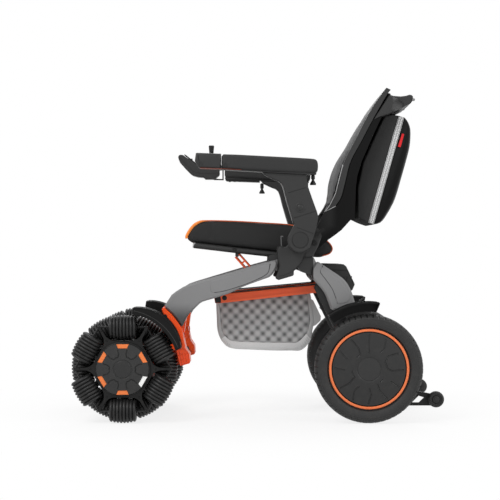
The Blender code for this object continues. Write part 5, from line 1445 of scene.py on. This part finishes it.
# %% Back cushion
BACK_CLOTH = cloth("back_cloth", (0.105, 0.105, 0.106), 0.72, pitch=0.0028, contrast=0.35, depth=0.0004)
BACK_PAD_HALF = 0.1765
PAD_FROM = 5
rings = []
pad_line = back_front[PAD_FROM:]
sinks = spread(PAD_SINKS, len(back_front))[PAD_FROM:]
half_back = [(0.9, 0.02, 0.0), (0.98, 0.1, 0.004), (1.0, 0.2, 0.01)]
for share, crown, draw in [(-share, *rest) for share, *rest in half_back[::-1]] + [(0.0, 0.0, 0.0)] + half_back:
    face = toward(pad_line, back_rear, [crown + sink for sink in sinks])
    back = toward(pad_line, back_rear, [0.64] * len(pad_line))
    rings.append((share * BACK_PAD_HALF, inset(face + back[::-1], 0.004 + draw * 0.5)))
back_pad = stuffed(loft(rings))


def back_seams(place):
    """A channel down each side and three across, as on a sewn mesh back."""
    depth = line_press(abs(abs(place.y) - 0.118), 0.005, 0.0022)
    for height in (0.2, 0.29, 0.38):
        depth += line_press(place.z - PIVOT[1] - height, 0.005, 0.0012) * (1.0 if abs(place.y) < 0.118 else 0.0)
    return depth


padding = sewn(back_pad, back_seams)
cover = piece("back_pad", padding, "backrest", BACK_CLOTH, ["back_cushion"], sharp=180, subdivide=1)
print("back pad points", len(cover.data.vertices))

# %% Push handle
dress("push_handle", PLASTIC, 0.0015)
grip = near_pivot(
    (0.3715, 0.4544), (0.3815, 0.4572), (0.3876, 0.456), (0.3912, 0.4512), (0.39, 0.4405), (0.3855, 0.4335),
    (0.3715, 0.4262),
)
piece("handle_grip", pillow(grip, -0.077, 0.077, 0.004, 4), "backrest", GRIP_RUBBER, sharp=50)
ridges = [wire(inset(grip, -0.0002), -0.07 + i * 0.01, 0.001, closed=True) for i in range(15)]
piece("handle_ridges", join(*ridges), "backrest", GRIP_RUBBER, sharp=180)
tips = []
for side in SIDES.values():
    catch = near_pivot(
        (0.3235, 0.402), (0.345, 0.411), (0.356, 0.4135), (0.35, 0.405), (0.337, 0.3985), (0.33, 0.398)
    )
    tips.append(pillow(catch, side * 0.085, side * 0.148, 0.0025, 3))
piece("handle_catches", join(*tips), "backrest", SATIN_PLASTIC, sharp=50)
CHEEK = [(0.319, 0.456), (0.3225, 0.4485), (0.327, 0.446), (0.329, 0.43), (0.327, 0.414), (0.3215, 0.399)]
CHEEK += [(0.3129, 0.3944), (0.291, 0.3871), (0.2692, 0.3773)]
CHEEK_ROOT = [(0.319, 0.456), (0.3245, 0.4475), (0.352, 0.444), (0.366, 0.43), (0.354, 0.415), (0.3375, 0.4062)]
CHEEK_ROOT += CHEEK[6:]
CHEEK_RINGS = [(0.148, CHEEK_ROOT), (0.201, CHEEK), (0.204, inset(CHEEK, 0.0022))]
cheeks = []
for side in SIDES.values():
    cheeks.append(loft([(side * y, near_pivot(*line)) for y, line in CHEEK_RINGS]))
piece("handle_cheeks", join(*cheeks), "backrest", PLASTIC, sharp=50, flat_faces=True)
tip_profile = [(0.0, 0.148), (0.004, 0.1484), (0.0045, 0.15), (0.004, 0.1516), (0.0, 0.152)]
tip = at_pivot(0.3928, 0.4425)
rollers = [lathe(tip_profile, tip, 20, side) for side in SIDES.values()]
piece("handle_rollers", join(*rollers), "backrest", GREY_PAINT)
print("push handle")

# %% [markdown]
# ## Backpack
# The pack behind the seat has a flat dark front, a silver zip tape at each side with a dark gusset between
# them, and a bulging glossy rear. All share the band's two edges, so the parts meet cleanly. The rear narrows
# towards its sides, which gives the swollen look of a filled bag.

# %% Backpack body
PACK_HALF = 0.16
PACK_FRONT = [(0.2275, 0.094), (0.2275, 0.182), (0.244, 0.257), (0.272, 0.32), (0.3, 0.38), (0.308, 0.393)]
PACK_FRONT += [(0.329, 0.3975), (0.348, 0.3945), (0.2585, 0.08), (0.248, 0.084)]
BAND_REAR = [(0.365, 0.389), (0.2752, 0.0745)]
PACK_REAR = [(0.365, 0.389), (0.376, 0.379), (0.384, 0.364), (0.3868, 0.343), (0.384, 0.304), (0.3725, 0.258)]
PACK_REAR += [(0.36, 0.214), (0.348, 0.172), (0.336, 0.139), (0.314, 0.1), (0.297, 0.08), (0.2752, 0.0745)]
PACK_CLOTH = cloth(
    "pack_cloth", 0.036, 0.9, pitch=0.0014, contrast=0.15, depth=0.00018, sheen=0.0, dust=0.0, shine=0.1
)
PACK_GLOSS = hard("pack_gloss", 0.004, 0.42, grain=0.0022, depth=0.00012, change=0.1, dust=0.0, shine=0.1)
front_body = pillow(near_pivot(*PACK_FRONT), -PACK_HALF, PACK_HALF, 0.005, 4)
pack = piece("pack_front", front_body, "backrest", PACK_CLOTH, ["backpack"], sharp=50, bevel=0.001)
rear_curve = smooth(near_pivot(*PACK_REAR), 3)
base = [Vector(p) for p in near_pivot(*BAND_REAR)]
rings = []
for i in range(11):
    turn = math.pi / 2 * i / 10
    rings.append((PACK_HALF - 0.055 * (1 - math.cos(turn)), 0.42 * (1 - math.sin(turn)) ** 1.3))
rings = [(-y, pull) for y, pull in rings] + [(0.0, 0.0)] + rings[::-1]
shapes = []
for y, pull in rings:
    shapes.append((y, [tuple(here.lerp(nearest(here, *base), pull)) for here in map(Vector, rear_curve)]))
rear = piece("pack_rear", loft(shapes), "backrest", PACK_GLOSS, sharp=60)
print("pack rings", len(shapes))

# %% Zip band, tag and straps
SILVER_TAPE = cloth("silver_tape", 0.66, 0.5, pitch=0.0016, contrast=0.25, depth=0.0003)
band_line = near_pivot((0.348, 0.3945), (0.365, 0.389), (0.2752, 0.0745), (0.2585, 0.08))
tapes = [pillow(band_line, side * 0.153, side * 0.1606, 0.0035, 4) for side in SIDES.values()]
piece("zip_band", join(*tapes), "backrest", SILVER_TAPE, sharp=50)
piece("pack_gusset", slab(band_line, -0.1535, 0.1535), "backrest", PACK_CLOTH)
teeth, cords = [], []
ZIP_TEETH = 86
TOOTH = [(-0.001, -0.0022), (-0.001, 0.0022), (0.001, 0.0022), (0.001, -0.0022)]
middle_a, middle_b = (Vector(band_line[a]).lerp(Vector(band_line[b]), 0.5) for a, b in ((0, 1), (3, 2)))
along = (middle_b - middle_a).normalized()
across = (Vector(band_line[1]) - Vector(band_line[0])).normalized()
for side in SIDES.values():
    for i in range(ZIP_TEETH):
        centre = middle_a.lerp(middle_b, (i + 0.5) / ZIP_TEETH) + across * (0.0009 if i % 2 else -0.0009)
        corners = [tuple(centre + along * a + across * b) for a, b in TOOTH]
        teeth.append(slab(corners, side * PACK_HALF, side * (PACK_HALF + 0.0014)))
    for shift in (-0.0062, 0.0062):
        a, b = middle_a + across * shift, middle_b + across * shift
        cords.append(wire([tuple(a), tuple(b)], side * 0.1607, 0.0008))
ZIP_DARK = hard("zip_dark", 0.27, 0.35, 0.5, grain=0.001)
piece("zip_teeth", join(*teeth), "backrest", ZIP_DARK, sharp=30)
piece("zip_edges", join(*cords), "backrest", ZIP_DARK, sharp=180)
TAG_RED = cloth("tag_red", (0.62, 0.012, 0.016), 0.6, pitch=0.0012, contrast=0.2, depth=0.0002)
tag = near_pivot((0.3577, 0.3418), (0.3642, 0.3397), (0.3533, 0.3009), (0.3454, 0.3029))
piece("pack_tag", slab(tag, -0.1632, -0.1604), "backrest", TAG_RED, bevel=0.0006)
straps = []
for side in SIDES.values():
    run = near_pivot((0.312, 0.396), (0.324, 0.401), (0.34, 0.401), (0.352, 0.395))
    straps.append(wire(smooth(run, 4), side * 0.045, 0.0085, 12, flat=0.16))
bar_run = at_pivot(0.332, 0.402)
straps.append(sweep([(bar_run[0], y, bar_run[1]) for y in (-0.047, 0.0, 0.047)], 0.003, 10))
piece("pack_loop", join(*straps), "backrest", PACK_CLOTH, sharp=60)
print("zip teeth", len(teeth))

# %% [markdown]
# ## Bag under the seat
# The grey bag hangs between the struts. Its sides are bubble-quilted, a lattice of raised and sunken spots,
# inside a plain border, with a paler woven band along the bottom. Mesh and material follow the same formula:
# the mesh raises and sinks the spots, and the material paints shade into the sunken ones, so spots and bumps
# always agree.

# %% Quilt lattice
QUILT_PITCH = (0.032, 0.0325, 0.032)
QUILT_START = (PIVOT[0] - 0.1473, 0.0, PIVOT[1] - 0.1645)
QUILT_SLOPE = 0.04


def lattice(place):
    steps = [place[axis] - QUILT_START[axis] for axis in range(3)]
    steps[2] += QUILT_SLOPE * steps[0]
    return math.prod(math.cos(math.tau * step / pitch) for step, pitch in zip(steps, QUILT_PITCH))


def quilted(name, pale, dark):
    """Grey knitted cloth, with painted shade in the spots where the lattice sinks."""
    made, tree, shader = new_finish(name, pale)
    parts = object_axes(tree)
    steps = [calc(tree, "SUBTRACT", parts[axis], QUILT_START[axis]) for axis in range(3)]
    steps[2] = calc(tree, "MULTIPLY_ADD", steps[0], QUILT_SLOPE, steps[2])
    value = 1.0
    for step, pitch in zip(steps, QUILT_PITCH):
        wave = calc(tree, "COSINE", calc(tree, "MULTIPLY", step, math.tau / pitch))
        value = calc(tree, "MULTIPLY", wave, value)
    share = node(tree, "ShaderNodeMapRange", {0: value, 1: -1.0, 2: 1.0}).outputs[0]
    mixed = blend_colours(tree, share, rgba(dark), rgba(pale))
    looks = {"Roughness": 0.85, "Sheen Weight": 0.12}
    plug(tree, shader, looks | woven(tree, mixed, 0.0026, 0.35, 0.1, 0.05, 0.0004))
    return made


# The pale grey is the cloth. The dark grey is painted shade for the sunken spots of the lattice.
QUILT_CLOTH = quilted("quilt_cloth", 0.52, (0.085, 0.085, 0.086))
BORDER_CLOTH = cloth("border_cloth", 0.38, 0.8, pitch=0.0018, contrast=0.2, depth=0.0003)
BAND_CLOTH = cloth("band_cloth", 0.56, 0.8, pitch=0.0042, contrast=0.8, depth=0.0008)
print("quilt pitch", QUILT_PITCH)

# %% Bag panels
BAG_HALF = 0.13
QUILT_ROWS, QUILT_COLUMNS, WRAP_ROWS = 40, 100, 80
BAG_EDGE = [
    (-0.19, -0.153), (-0.188, -0.2), (-0.185, -0.241), (-0.172, -0.271), (-0.145, -0.291), (-0.08, -0.2955)
]
BAG_EDGE += [
    (-0.017, -0.298), (0.03, -0.298), (0.062, -0.2965), (0.088, -0.27), (0.096, -0.235), (0.1, -0.2),
    (0.088, -0.124),
]
QUILT_EDGE = [
    (-0.18, -0.1515), (-0.177, -0.2), (-0.173, -0.237), (-0.161, -0.259), (-0.14, -0.2715), (-0.08, -0.275)
]
QUILT_EDGE += [
    (-0.017, -0.2765), (0.025, -0.2765), (0.05, -0.2755), (0.074, -0.254), (0.084, -0.23), (0.088, -0.2),
    (0.077, -0.1215),
]
bag_edge = smooth(near_pivot(*BAG_EDGE), 5)
quilt_edge = smooth(near_pivot(*QUILT_EDGE), 5)


def sag(place):
    """The bag's sides belly out a little towards the bottom."""
    return 0.0025 * math.sin(math.pi * min(1.0, max(0.0, (PIVOT[1] - 0.14 - place) / 0.16)))


def quilt_side(side):
    """Straight rows between the front and rear halves of the quilt's edge, raised by the lattice."""
    half = len(quilt_edge) // 2
    front, rear = quilt_edge[: half + 1], quilt_edge[::-1][: len(quilt_edge) - half]
    rows = []
    for i in range(QUILT_ROWS + 1):
        a, b = (Vector(line[round(i * (len(line) - 1) / QUILT_ROWS)]) for line in (front, rear))
        row = []
        for k in range(QUILT_COLUMNS + 1):
            x, z = a.lerp(b, k / QUILT_COLUMNS)
            edge = min(1.0, 14 * min(i + 2, QUILT_ROWS - i, k, QUILT_COLUMNS - k) / 40)
            rise = edge * (0.0016 + 0.0022 * lattice((x, BAG_HALF, z))) + sag(z)
            row.append((x, side * (BAG_HALF - 0.0012 + rise), z))
        rows.append(row)
    return grid(rows)


def bag_wrap():
    """Front, bottom and rear in one strip across the width."""
    rows = []
    fine = smooth(bag_edge, 2)
    for k in range(WRAP_ROWS + 1):
        y = -BAG_HALF + 2 * BAG_HALF * k / WRAP_ROWS
        edge = min(1.0, min(k, WRAP_ROWS - k) / 4)
        row = []
        for (x, z), (inner_x, inner_z) in zip(fine, inset(fine, 0.004)):
            depth = edge * (0.5 + 0.5 * lattice((x, y, z)))
            out = 0.35 + 0.65 * depth
            row.append((inner_x + (x - inner_x) * out, y, inner_z + (z - inner_z) * out))
        rows.append(row)
    return grid(rows)


def lined(made, thickness):
    """Gives a sheet of cloth its thickness, inwards."""
    layer = made.modifiers.new("thickness", "SOLIDIFY")
    layer.thickness = thickness
    layer.offset = 0.0
    return made


panels = join(quilt_side(-1.0), quilt_side(1.0), bag_wrap())
bag = lined(piece("bag_quilt", panels, "struts", QUILT_CLOTH, ["storage_bag"], sharp=180), 0.0024)
print("bag panel points", len(bag.data.vertices))

# %% Bag border, bottom band and lip
for name, side in SIDES.items():
    rows = []
    for share, lift in ((0.0, 0.0006), (0.12, 0.0022), (0.5, 0.003), (0.88, 0.0022), (1.0, 0.0004)):
        line = [tuple(Vector(a).lerp(Vector(b), share)) for a, b in zip(bag_edge, quilt_edge)]
        rows.append([(x, side * (BAG_HALF - 0.001 + lift + sag(z)), z) for x, z in line])
    piece(f"bag_border_{name}", grid(rows), "struts", BORDER_CLOTH, sharp=180)
    band = []
    low = [i for i, place in enumerate(bag_edge) if place[1] < PIVOT[1] - 0.262]
    for share, lift in ((-0.03, 0.0018), (0.1, 0.0034), (0.5, 0.0048), (0.92, 0.0048), (1.05, 0.0036)):
        line = [tuple(Vector(bag_edge[i]).lerp(Vector(quilt_edge[i]), share)) for i in low]
        band.append([(x, side * (BAG_HALF - 0.001 + lift + sag(z)), z) for x, z in line])
    piece(f"bag_band_{name}", grid(band), "struts", BAND_CLOTH, sharp=180)
    threads = []
    for i in low[:6] + low[-6:]:
        a, b = (Vector(bag_edge[i]).lerp(Vector(quilt_edge[i]), share) for share in (0.15, 0.95))
        stitch = ((a, 0.0026), (a.lerp(b, 0.5), 0.0036), (b, 0.0026))
        path = [(p[0], side * (BAG_HALF + lift + sag(p[1])), p[1]) for p, lift in stitch]
        threads.append(sweep(path, 0.0007, 5))
    piece(f"bag_stitches_{name}", join(*threads), "struts", PALE_EDGE, sharp=180)
    flap = near_pivot(
        (0.088, -0.145), (0.0971, -0.1488), (0.1205, -0.1973), (0.1193, -0.2101), (0.1057, -0.2228),
        (0.095, -0.228), (0.096, -0.195),
    )
    sheet = slab(flap, side * (BAG_HALF + 0.0005), side * (BAG_HALF + 0.0026))
    piece(f"bag_flap_{name}", sheet, "struts", BORDER_CLOTH, bevel=0.0006)
    top = [(x, side * (BAG_HALF - 0.001), z) for x, z in (bag_edge[0], bag_edge[-1])]
    piece(f"bag_lip_{name}", sweep(top, 0.0028, 8), "struts", BORDER_CLOTH, sharp=180)
print("bag trimmed")

# %% [markdown]
# ## Battery, anti-tip wheels and footplate
# These sit low and mostly in shadow, but they are seen from behind and from below, so each gets the fittings
# that show how it works: a latch and vents on the battery, treads on the small wheels and grip strips on the
# plate for the feet.

# %% Battery
dress("battery_case", PLASTIC, 0.001)
dress("battery_pack", SATIN_PLASTIC, 0.001)
vents, trim = [], []
for side in SIDES.values():
    for i in range(6):
        x = PIVOT[0] + 0.147 + i * 0.0085
        low = -0.112 + 0.0005 * i
        vent = moved((x, PIVOT[1]), [(0.0, low), (0.0036, low), (0.0086, low + 0.03), (0.005, low + 0.03)])
        vents.append(slab(vent, side * 0.1495, side * 0.1511))
    line = near_pivot((0.136, -0.06), (0.198, -0.061), (0.2155, -0.1))
    vents.append(wire(line, side * 0.1501, 0.0011))
piece("battery_vents", join(*vents), "rear_frame", GRIP_RUBBER, sharp=30)
face = [Vector(p) for p in near_pivot((0.1965, -0.0605), (0.2165, -0.102))]
normal = Vector((face[0].y - face[1].y, face[1].x - face[0].x)).normalized()
for y in (-0.105, 0.105):
    ends = [face[0].lerp(face[1], t) for t in (0.3, 0.62)]
    box = [(0, -0.001), (1, -0.001), (1, 0.0028), (0, 0.0028)]
    trim.append(pillow([tuple(ends[i] + normal * rise) for i, rise in box], y - 0.016, y + 0.016, 0.001, 2))
piece("battery_latches", join(*trim), "battery", BOLT_METAL, sharp=40)
lights = []
for i in range(4):
    spot = face[0].lerp(face[1], 0.22) + normal * 0.0004
    lamp_shape = [(0.0, 0.0), (0.0024, 0.0), (0.002, 0.001), (0.0, 0.0012)]
    lights.append(round_bar(lamp_shape, (spot.x, -0.018 + 0.012 * i, spot.y), 12))
piece("battery_lights", join(*lights), "battery", WHITE_PLASTIC)
print("battery dressed")

# %% Anti-tip wheels
ANTI_TIP = hinge("anti_tip_left_roll")
tyre_shape = [
    (0.0125, 0.2012), (0.018, 0.2012), (0.0205, 0.2022), (0.0226, 0.2045), (0.0234, 0.2075), (0.0235, 0.21)
]
tyre_shape += [
    (0.0227, 0.2112), (0.0227, 0.2128), (0.0235, 0.214), (0.0234, 0.2165), (0.0226, 0.2195), (0.0205, 0.2218)
]
tyre_shape += [(0.018, 0.2228), (0.0168, 0.2222), (0.016, 0.22), (0.0125, 0.2196)]
hub_shape = [(0.0046, 0.2016), (0.0124, 0.2016), (0.0124, 0.219), (0.01, 0.2214), (0.0066, 0.222)]
hub_shape += [(0.006, 0.2226), (0.0, 0.2228), (0.0, 0.2208), (0.0046, 0.2208)]
for name, side in SIDES.items():
    body = f"anti_tip_roller_{name}"
    dress(f"anti_tip_arm_{name}", BLACK_METAL, 0.0008)
    small_tyre = lathe(tyre_shape, ANTI_TIP, 64, side, closed=True)
    piece(f"small_tyre_{name}", small_tyre, body, TYRE_RUBBER, [f"anti_tip_wheel_{name}"])
    piece(f"small_hub_{name}", lathe(hub_shape, ANTI_TIP, 40, side, closed=True), body, SATIN_PLASTIC)
    arm_hinge = hinge(f"anti_tip_{name}_flip")
    head = bolt(arm_hinge, side * 0.1999, side, 0.0072, 0.002)
    piece(f"anti_tip_bolt_{name}", head, f"anti_tip_{name}", BOLT_METAL)
print("anti-tip wheels at", ANTI_TIP)

# %% Footplate
dress("footplate", PLASTIC, 0.0014)
strips = []
top_rear, top_front = Vector((-0.264, 0.112)), Vector((-0.449, 0.124))
for i in range(8):
    a = top_rear.lerp(top_front, 0.07 + i * 0.115)
    b = top_rear.lerp(top_front, 0.07 + i * 0.115 + 0.045)
    up = Vector((0.0, 0.0011))
    strips.append(
        pillow([tuple(a - up), tuple(b - up), tuple(b + up), tuple(a + up)], -0.112, 0.112, 0.0006, 2)
    )
piece("footplate_grips", join(*strips), "footplate", GRIP_RUBBER, sharp=40)
edge = [(top_front.x - 0.0006, y, top_front.y - 0.005) for y in (-0.133, -0.06, 0.0, 0.06, 0.133)]
piece("footplate_edge", sweep(edge, 0.0046, 12), "footplate", GRIP_RUBBER, sharp=60)
print("grip strips", len(strips))

# %% [markdown]
# ## Controller, joystick and knobs
# The controller ends in a raised display. The stick stands in a rubber boot that moves with it, over a ring
# that tilts the other way. The clamp knobs under the arm pads are fluted so that a hand can turn them.

# %% Controller
dress("controller", PLASTIC, 0.0008)
dress("joystick_gimbal", BLACK_METAL, 0.0004)
display = [(-0.301, 0.3046), (-0.299, 0.3062), (-0.2604, 0.276), (-0.26, 0.2736), (-0.264, 0.2738)]
housing = pillow(near_pivot(*display), 0.2425, 0.2975, 0.001, 3)
piece("display", housing, "armrest_right", SATIN_PLASTIC, sharp=45)
glass_line = [Vector(p) for p in near_pivot((-0.2962, 0.3046), (-0.2655, 0.2806))]
over = Vector((0.0, 0.0006))
glass = [glass_line[0] - over, glass_line[1] - over, glass_line[1] + over, glass_line[0] + over]
piece("display_glass", slab([tuple(p) for p in glass], 0.248, 0.292), "armrest_right", SCREEN, bevel=0.0003)
KEY = [(0.0, -0.001), (0.0042, -0.001), (0.0042, 0.0012), (0.0034, 0.0022), (0.0, 0.0026)]
NUB = [(0.0, -0.001), (0.003, -0.001), (0.003, 0.005), (0.0022, 0.0062), (0.0, 0.0066)]
x, z = at_pivot(-0.25, 0.2714)
keys = [round_bar(KEY, (x, y, z), 20) for y in (0.249, 0.2595, 0.2805, 0.291)]
x, z = at_pivot(-0.2767, 0.286)
keys.append(round_bar(NUB, (x, 0.2445, z), 16))
piece("controller_keys", join(*keys), "armrest_right", GRIP_RUBBER)
parting = near_pivot((-0.315, 0.296), (-0.29, 0.268), (-0.27, 0.25), (-0.245, 0.244), (-0.19, 0.245))
seams = [wire(parting, y, 0.0006) for y in (0.236, 0.304)]
piece("controller_seams", join(*seams), "armrest_right", GRIP_RUBBER)

stick_at = tuple(JOINTS["stick_side"]["pos_m"])
collar = [(0.0192, 0.009), (0.0225, 0.009), (0.0225, 0.0108), (0.0212, 0.0118), (0.0196, 0.0112)]
collar_mesh = round_bar(collar, stick_at, 40, closed=True)
piece("stick_collar", collar_mesh, "armrest_right", SATIN_PLASTIC)
boot = [
    (0.0, 0.0085), (0.0148, 0.0085), (0.0158, 0.0105), (0.0146, 0.0135), (0.0126, 0.0142), (0.0132, 0.0165),
    (0.0118, 0.0192),
]
boot += [
    (0.01, 0.0198), (0.0106, 0.0218), (0.0094, 0.0242), (0.0078, 0.0248), (0.0082, 0.0268), (0.0072, 0.0292),
    (0.0056, 0.0306), (0.0, 0.0306),
]
piece("stick_boot", round_bar(boot, stick_at, 36), "stick", GRIP_RUBBER, sharp=60)
grip = [
    (0.0, 0.029), (0.0046, 0.029), (0.0046, 0.045), (0.0062, 0.047), (0.007, 0.05), (0.0082, 0.064),
    (0.0088, 0.07),
]
grip += [(0.0086, 0.0728), (0.0072, 0.074), (0.005, 0.0734), (0.0, 0.0732)]
piece("stick_grip", round_bar(grip, stick_at, 36), "stick", GRIP_RUBBER, ["joystick"], sharp=60)
ball = [(0.0, -0.0088), (0.0068, -0.0062), (0.0084, 0.0), (0.0068, 0.0062), (0.0045, 0.0086), (0.0, 0.009)]
piece("stick_ball", round_bar(ball, stick_at, 28), "stick", BOLT_METAL, sharp=60)
print("controller trimmed, stick at", stick_at)

# %% Clamp knobs
def fluted(place, profile, flutes, depth):
    """A turned knob whose wide rim has finger flutes."""
    steps = flutes * 6
    rows = []
    for radius, height, share in profile:
        ring = []
        for i in range(steps):
            r = radius * (1.0 - depth * share * (0.5 + 0.5 * math.cos(math.tau * i * flutes / steps)))
            angle = math.tau * i / steps
            ring.append((place[0] + r * math.cos(angle), place[1] + r * math.sin(angle), place[2] + height))
        rows.append(ring)
    return grid(rows, wrap_columns=True, cap=True)


def knob_shape(length):
    """Radius, height and share of fluting, from the pad down to the cone's foot."""
    low = [
        (0.0036, 0.0162, 0.0), (0.0036, 0.014, 0.0), (0.0052, 0.0112, 0.6), (0.0096, 0.0042, 1.0),
        (0.0099, 0.003, 1.0), (0.0094, 0.0002, 1.0),
    ]
    top = [(0.0036, -0.0005), (0.0036, -0.002), (0.0056, -0.0032), (0.0056, 0.0172 - length)]
    return [(r, h, 0.0) for r, h in top] + [(r, h - length, share) for r, h, share in low]


KNOBS = {f"pad_knob_{name}": (f"knob_{name}", side, (0.092, 0.2165), 0.0305) for name, side in SIDES.items()}
KNOBS["bar_knob"] = ("knob_bar", 1.0, (-0.051, 0.214), 0.034)
for name, (body, side, offset, length) in KNOBS.items():
    x, z = at_pivot(*offset)
    piece(f"{name}_grip", fluted((x, side * 0.252, z), knob_shape(length), 6, 0.16), body, GRIP_RUBBER, [name])
print("knobs", len(KNOBS))

# %% Recline lever
dress("recline_lever", BLACK_METAL, 0.0006)
print("lever dressed")

# %% Small fittings
for name, side in SIDES.items():
    dress(f"rear_fork_{name}", PLASTIC, 0.001)
    catch = ribbon(near_pivot((0.2215, -0.1462), (0.2342, -0.1378)), 0.0048)
    plate = slab(catch, side * 0.2985, side * 0.306)
    piece(f"fender_catch_{name}", plate, "rear_frame", SATIN_PLASTIC, bevel=0.0008)
    head = bolt(hinge(f"anti_tip_{name}_flip"), side * 0.1884, side, 0.005, 0.0012)
    piece(f"rear_fork_bolt_{name}", head, "rear_frame", BOLT_METAL)
print("small fittings done")

# %% [markdown]
# ## Floor, light and camera
# The picture is a product shot: a white ground, soft light from all round with a little more from the front
# left, and a camera far away and level with the middle of the chair.

# %% Floor
ground = bpy.data.meshes.new("floor")
ground.from_pydata([(-8.0, -8.0, 0.0), (8.0, -8.0, 0.0), (8.0, 8.0, 0.0), (-8.0, 8.0, 0.0)], [], [(0, 1, 2, 3)])
floor = bpy.data.objects.new("floor", ground)
bpy.context.scene.collection.objects.link(floor)
paint, tree, shader = new_finish("floor_paint", 0.9)
plug(tree, shader, {"Base Color": rgba(0.9), "Roughness": 0.9, "Specular IOR Level": 0.1})


def seen_directly(tree):
    """1 for a ray from the camera, or one that comes by way of a gloss or a glass, and 0 for the rest."""
    rays = node(tree, "ShaderNodeLightPath").outputs
    bent = calc(tree, "MAXIMUM", rays["Is Glossy Ray"], rays["Is Transmission Ray"])
    return calc(tree, "MAXIMUM", rays["Is Camera Ray"], bent)


direct = seen_directly(tree)
place = object_place(tree)
away = node(tree, "ShaderNodeVectorMath", {0: place}, operation="LENGTH").outputs["Value"]
paler = node(tree, "ShaderNodeMapRange", {0: away, 1: 0.45, 2: 1.1, 3: 0.8, 4: 1.0}).outputs[0]
white = calc(tree, "MULTIPLY", paler, direct)
glow = node(tree, "ShaderNodeEmission", {"Color": rgba(1.0), "Strength": 1.0}).outputs[0]
mixed = node(tree, "ShaderNodeMixShader", {0: white, 1: shader.outputs[0], 2: glow}).outputs[0]
tree.links.new(mixed, tree.nodes["Material Output"].inputs["Surface"])
ground.materials.append(paint)
print("floor laid")

# %% World
world = bpy.data.worlds.new("studio")
bpy.context.scene.world = world
world.use_nodes = True
tree = world.node_tree
back = tree.nodes["Background"]
lit = node(tree, "ShaderNodeMapRange", {0: seen_directly(tree), 3: 0.62, 4: 1.0}).outputs[0]
plug(tree, back, {"Color": rgba(1.0), "Strength": lit})
bpy.context.scene.view_settings.view_transform = "Standard"
print("world lit")

# %% Lamps
def lamp(name, place, aim, power, size):
    """A soft square lamp that looks at a point."""
    data = bpy.data.lights.new(name, "AREA")
    data.energy = power
    data.size = size
    made = bpy.data.objects.new(name, data)
    made.location = place
    made.rotation_euler = (Vector(aim) - Vector(place)).to_track_quat("-Z", "Y").to_euler()
    bpy.context.scene.collection.objects.link(made)


MIDDLE = (0.0, 0.0, 0.48)
lamp("key_lamp", (-1.8, -2.6, 3.0), MIDDLE, 70.0, 1.6)
lamp("fill_lamp", (2.6, -2.2, 1.6), MIDDLE, 28.0, 2.0)
lamp("back_lamp", (0.4, 2.8, 2.6), MIDDLE, 40.0, 2.0)
print("three lamps")

# %% Camera
LENS, SENSOR = 108.65, 36.0
EYE = (-0.0225, -4.6, 0.496)
view = bpy.data.cameras.new("camera")
view.lens, view.sensor_width = LENS, SENSOR
camera = bpy.data.objects.new("camera", view)
camera.location = EYE
camera.rotation_euler = (math.pi / 2, 0.0, 0.0)
bpy.context.scene.collection.objects.link(camera)
bpy.context.scene.camera = camera
print("camera at", tuple(camera.location))
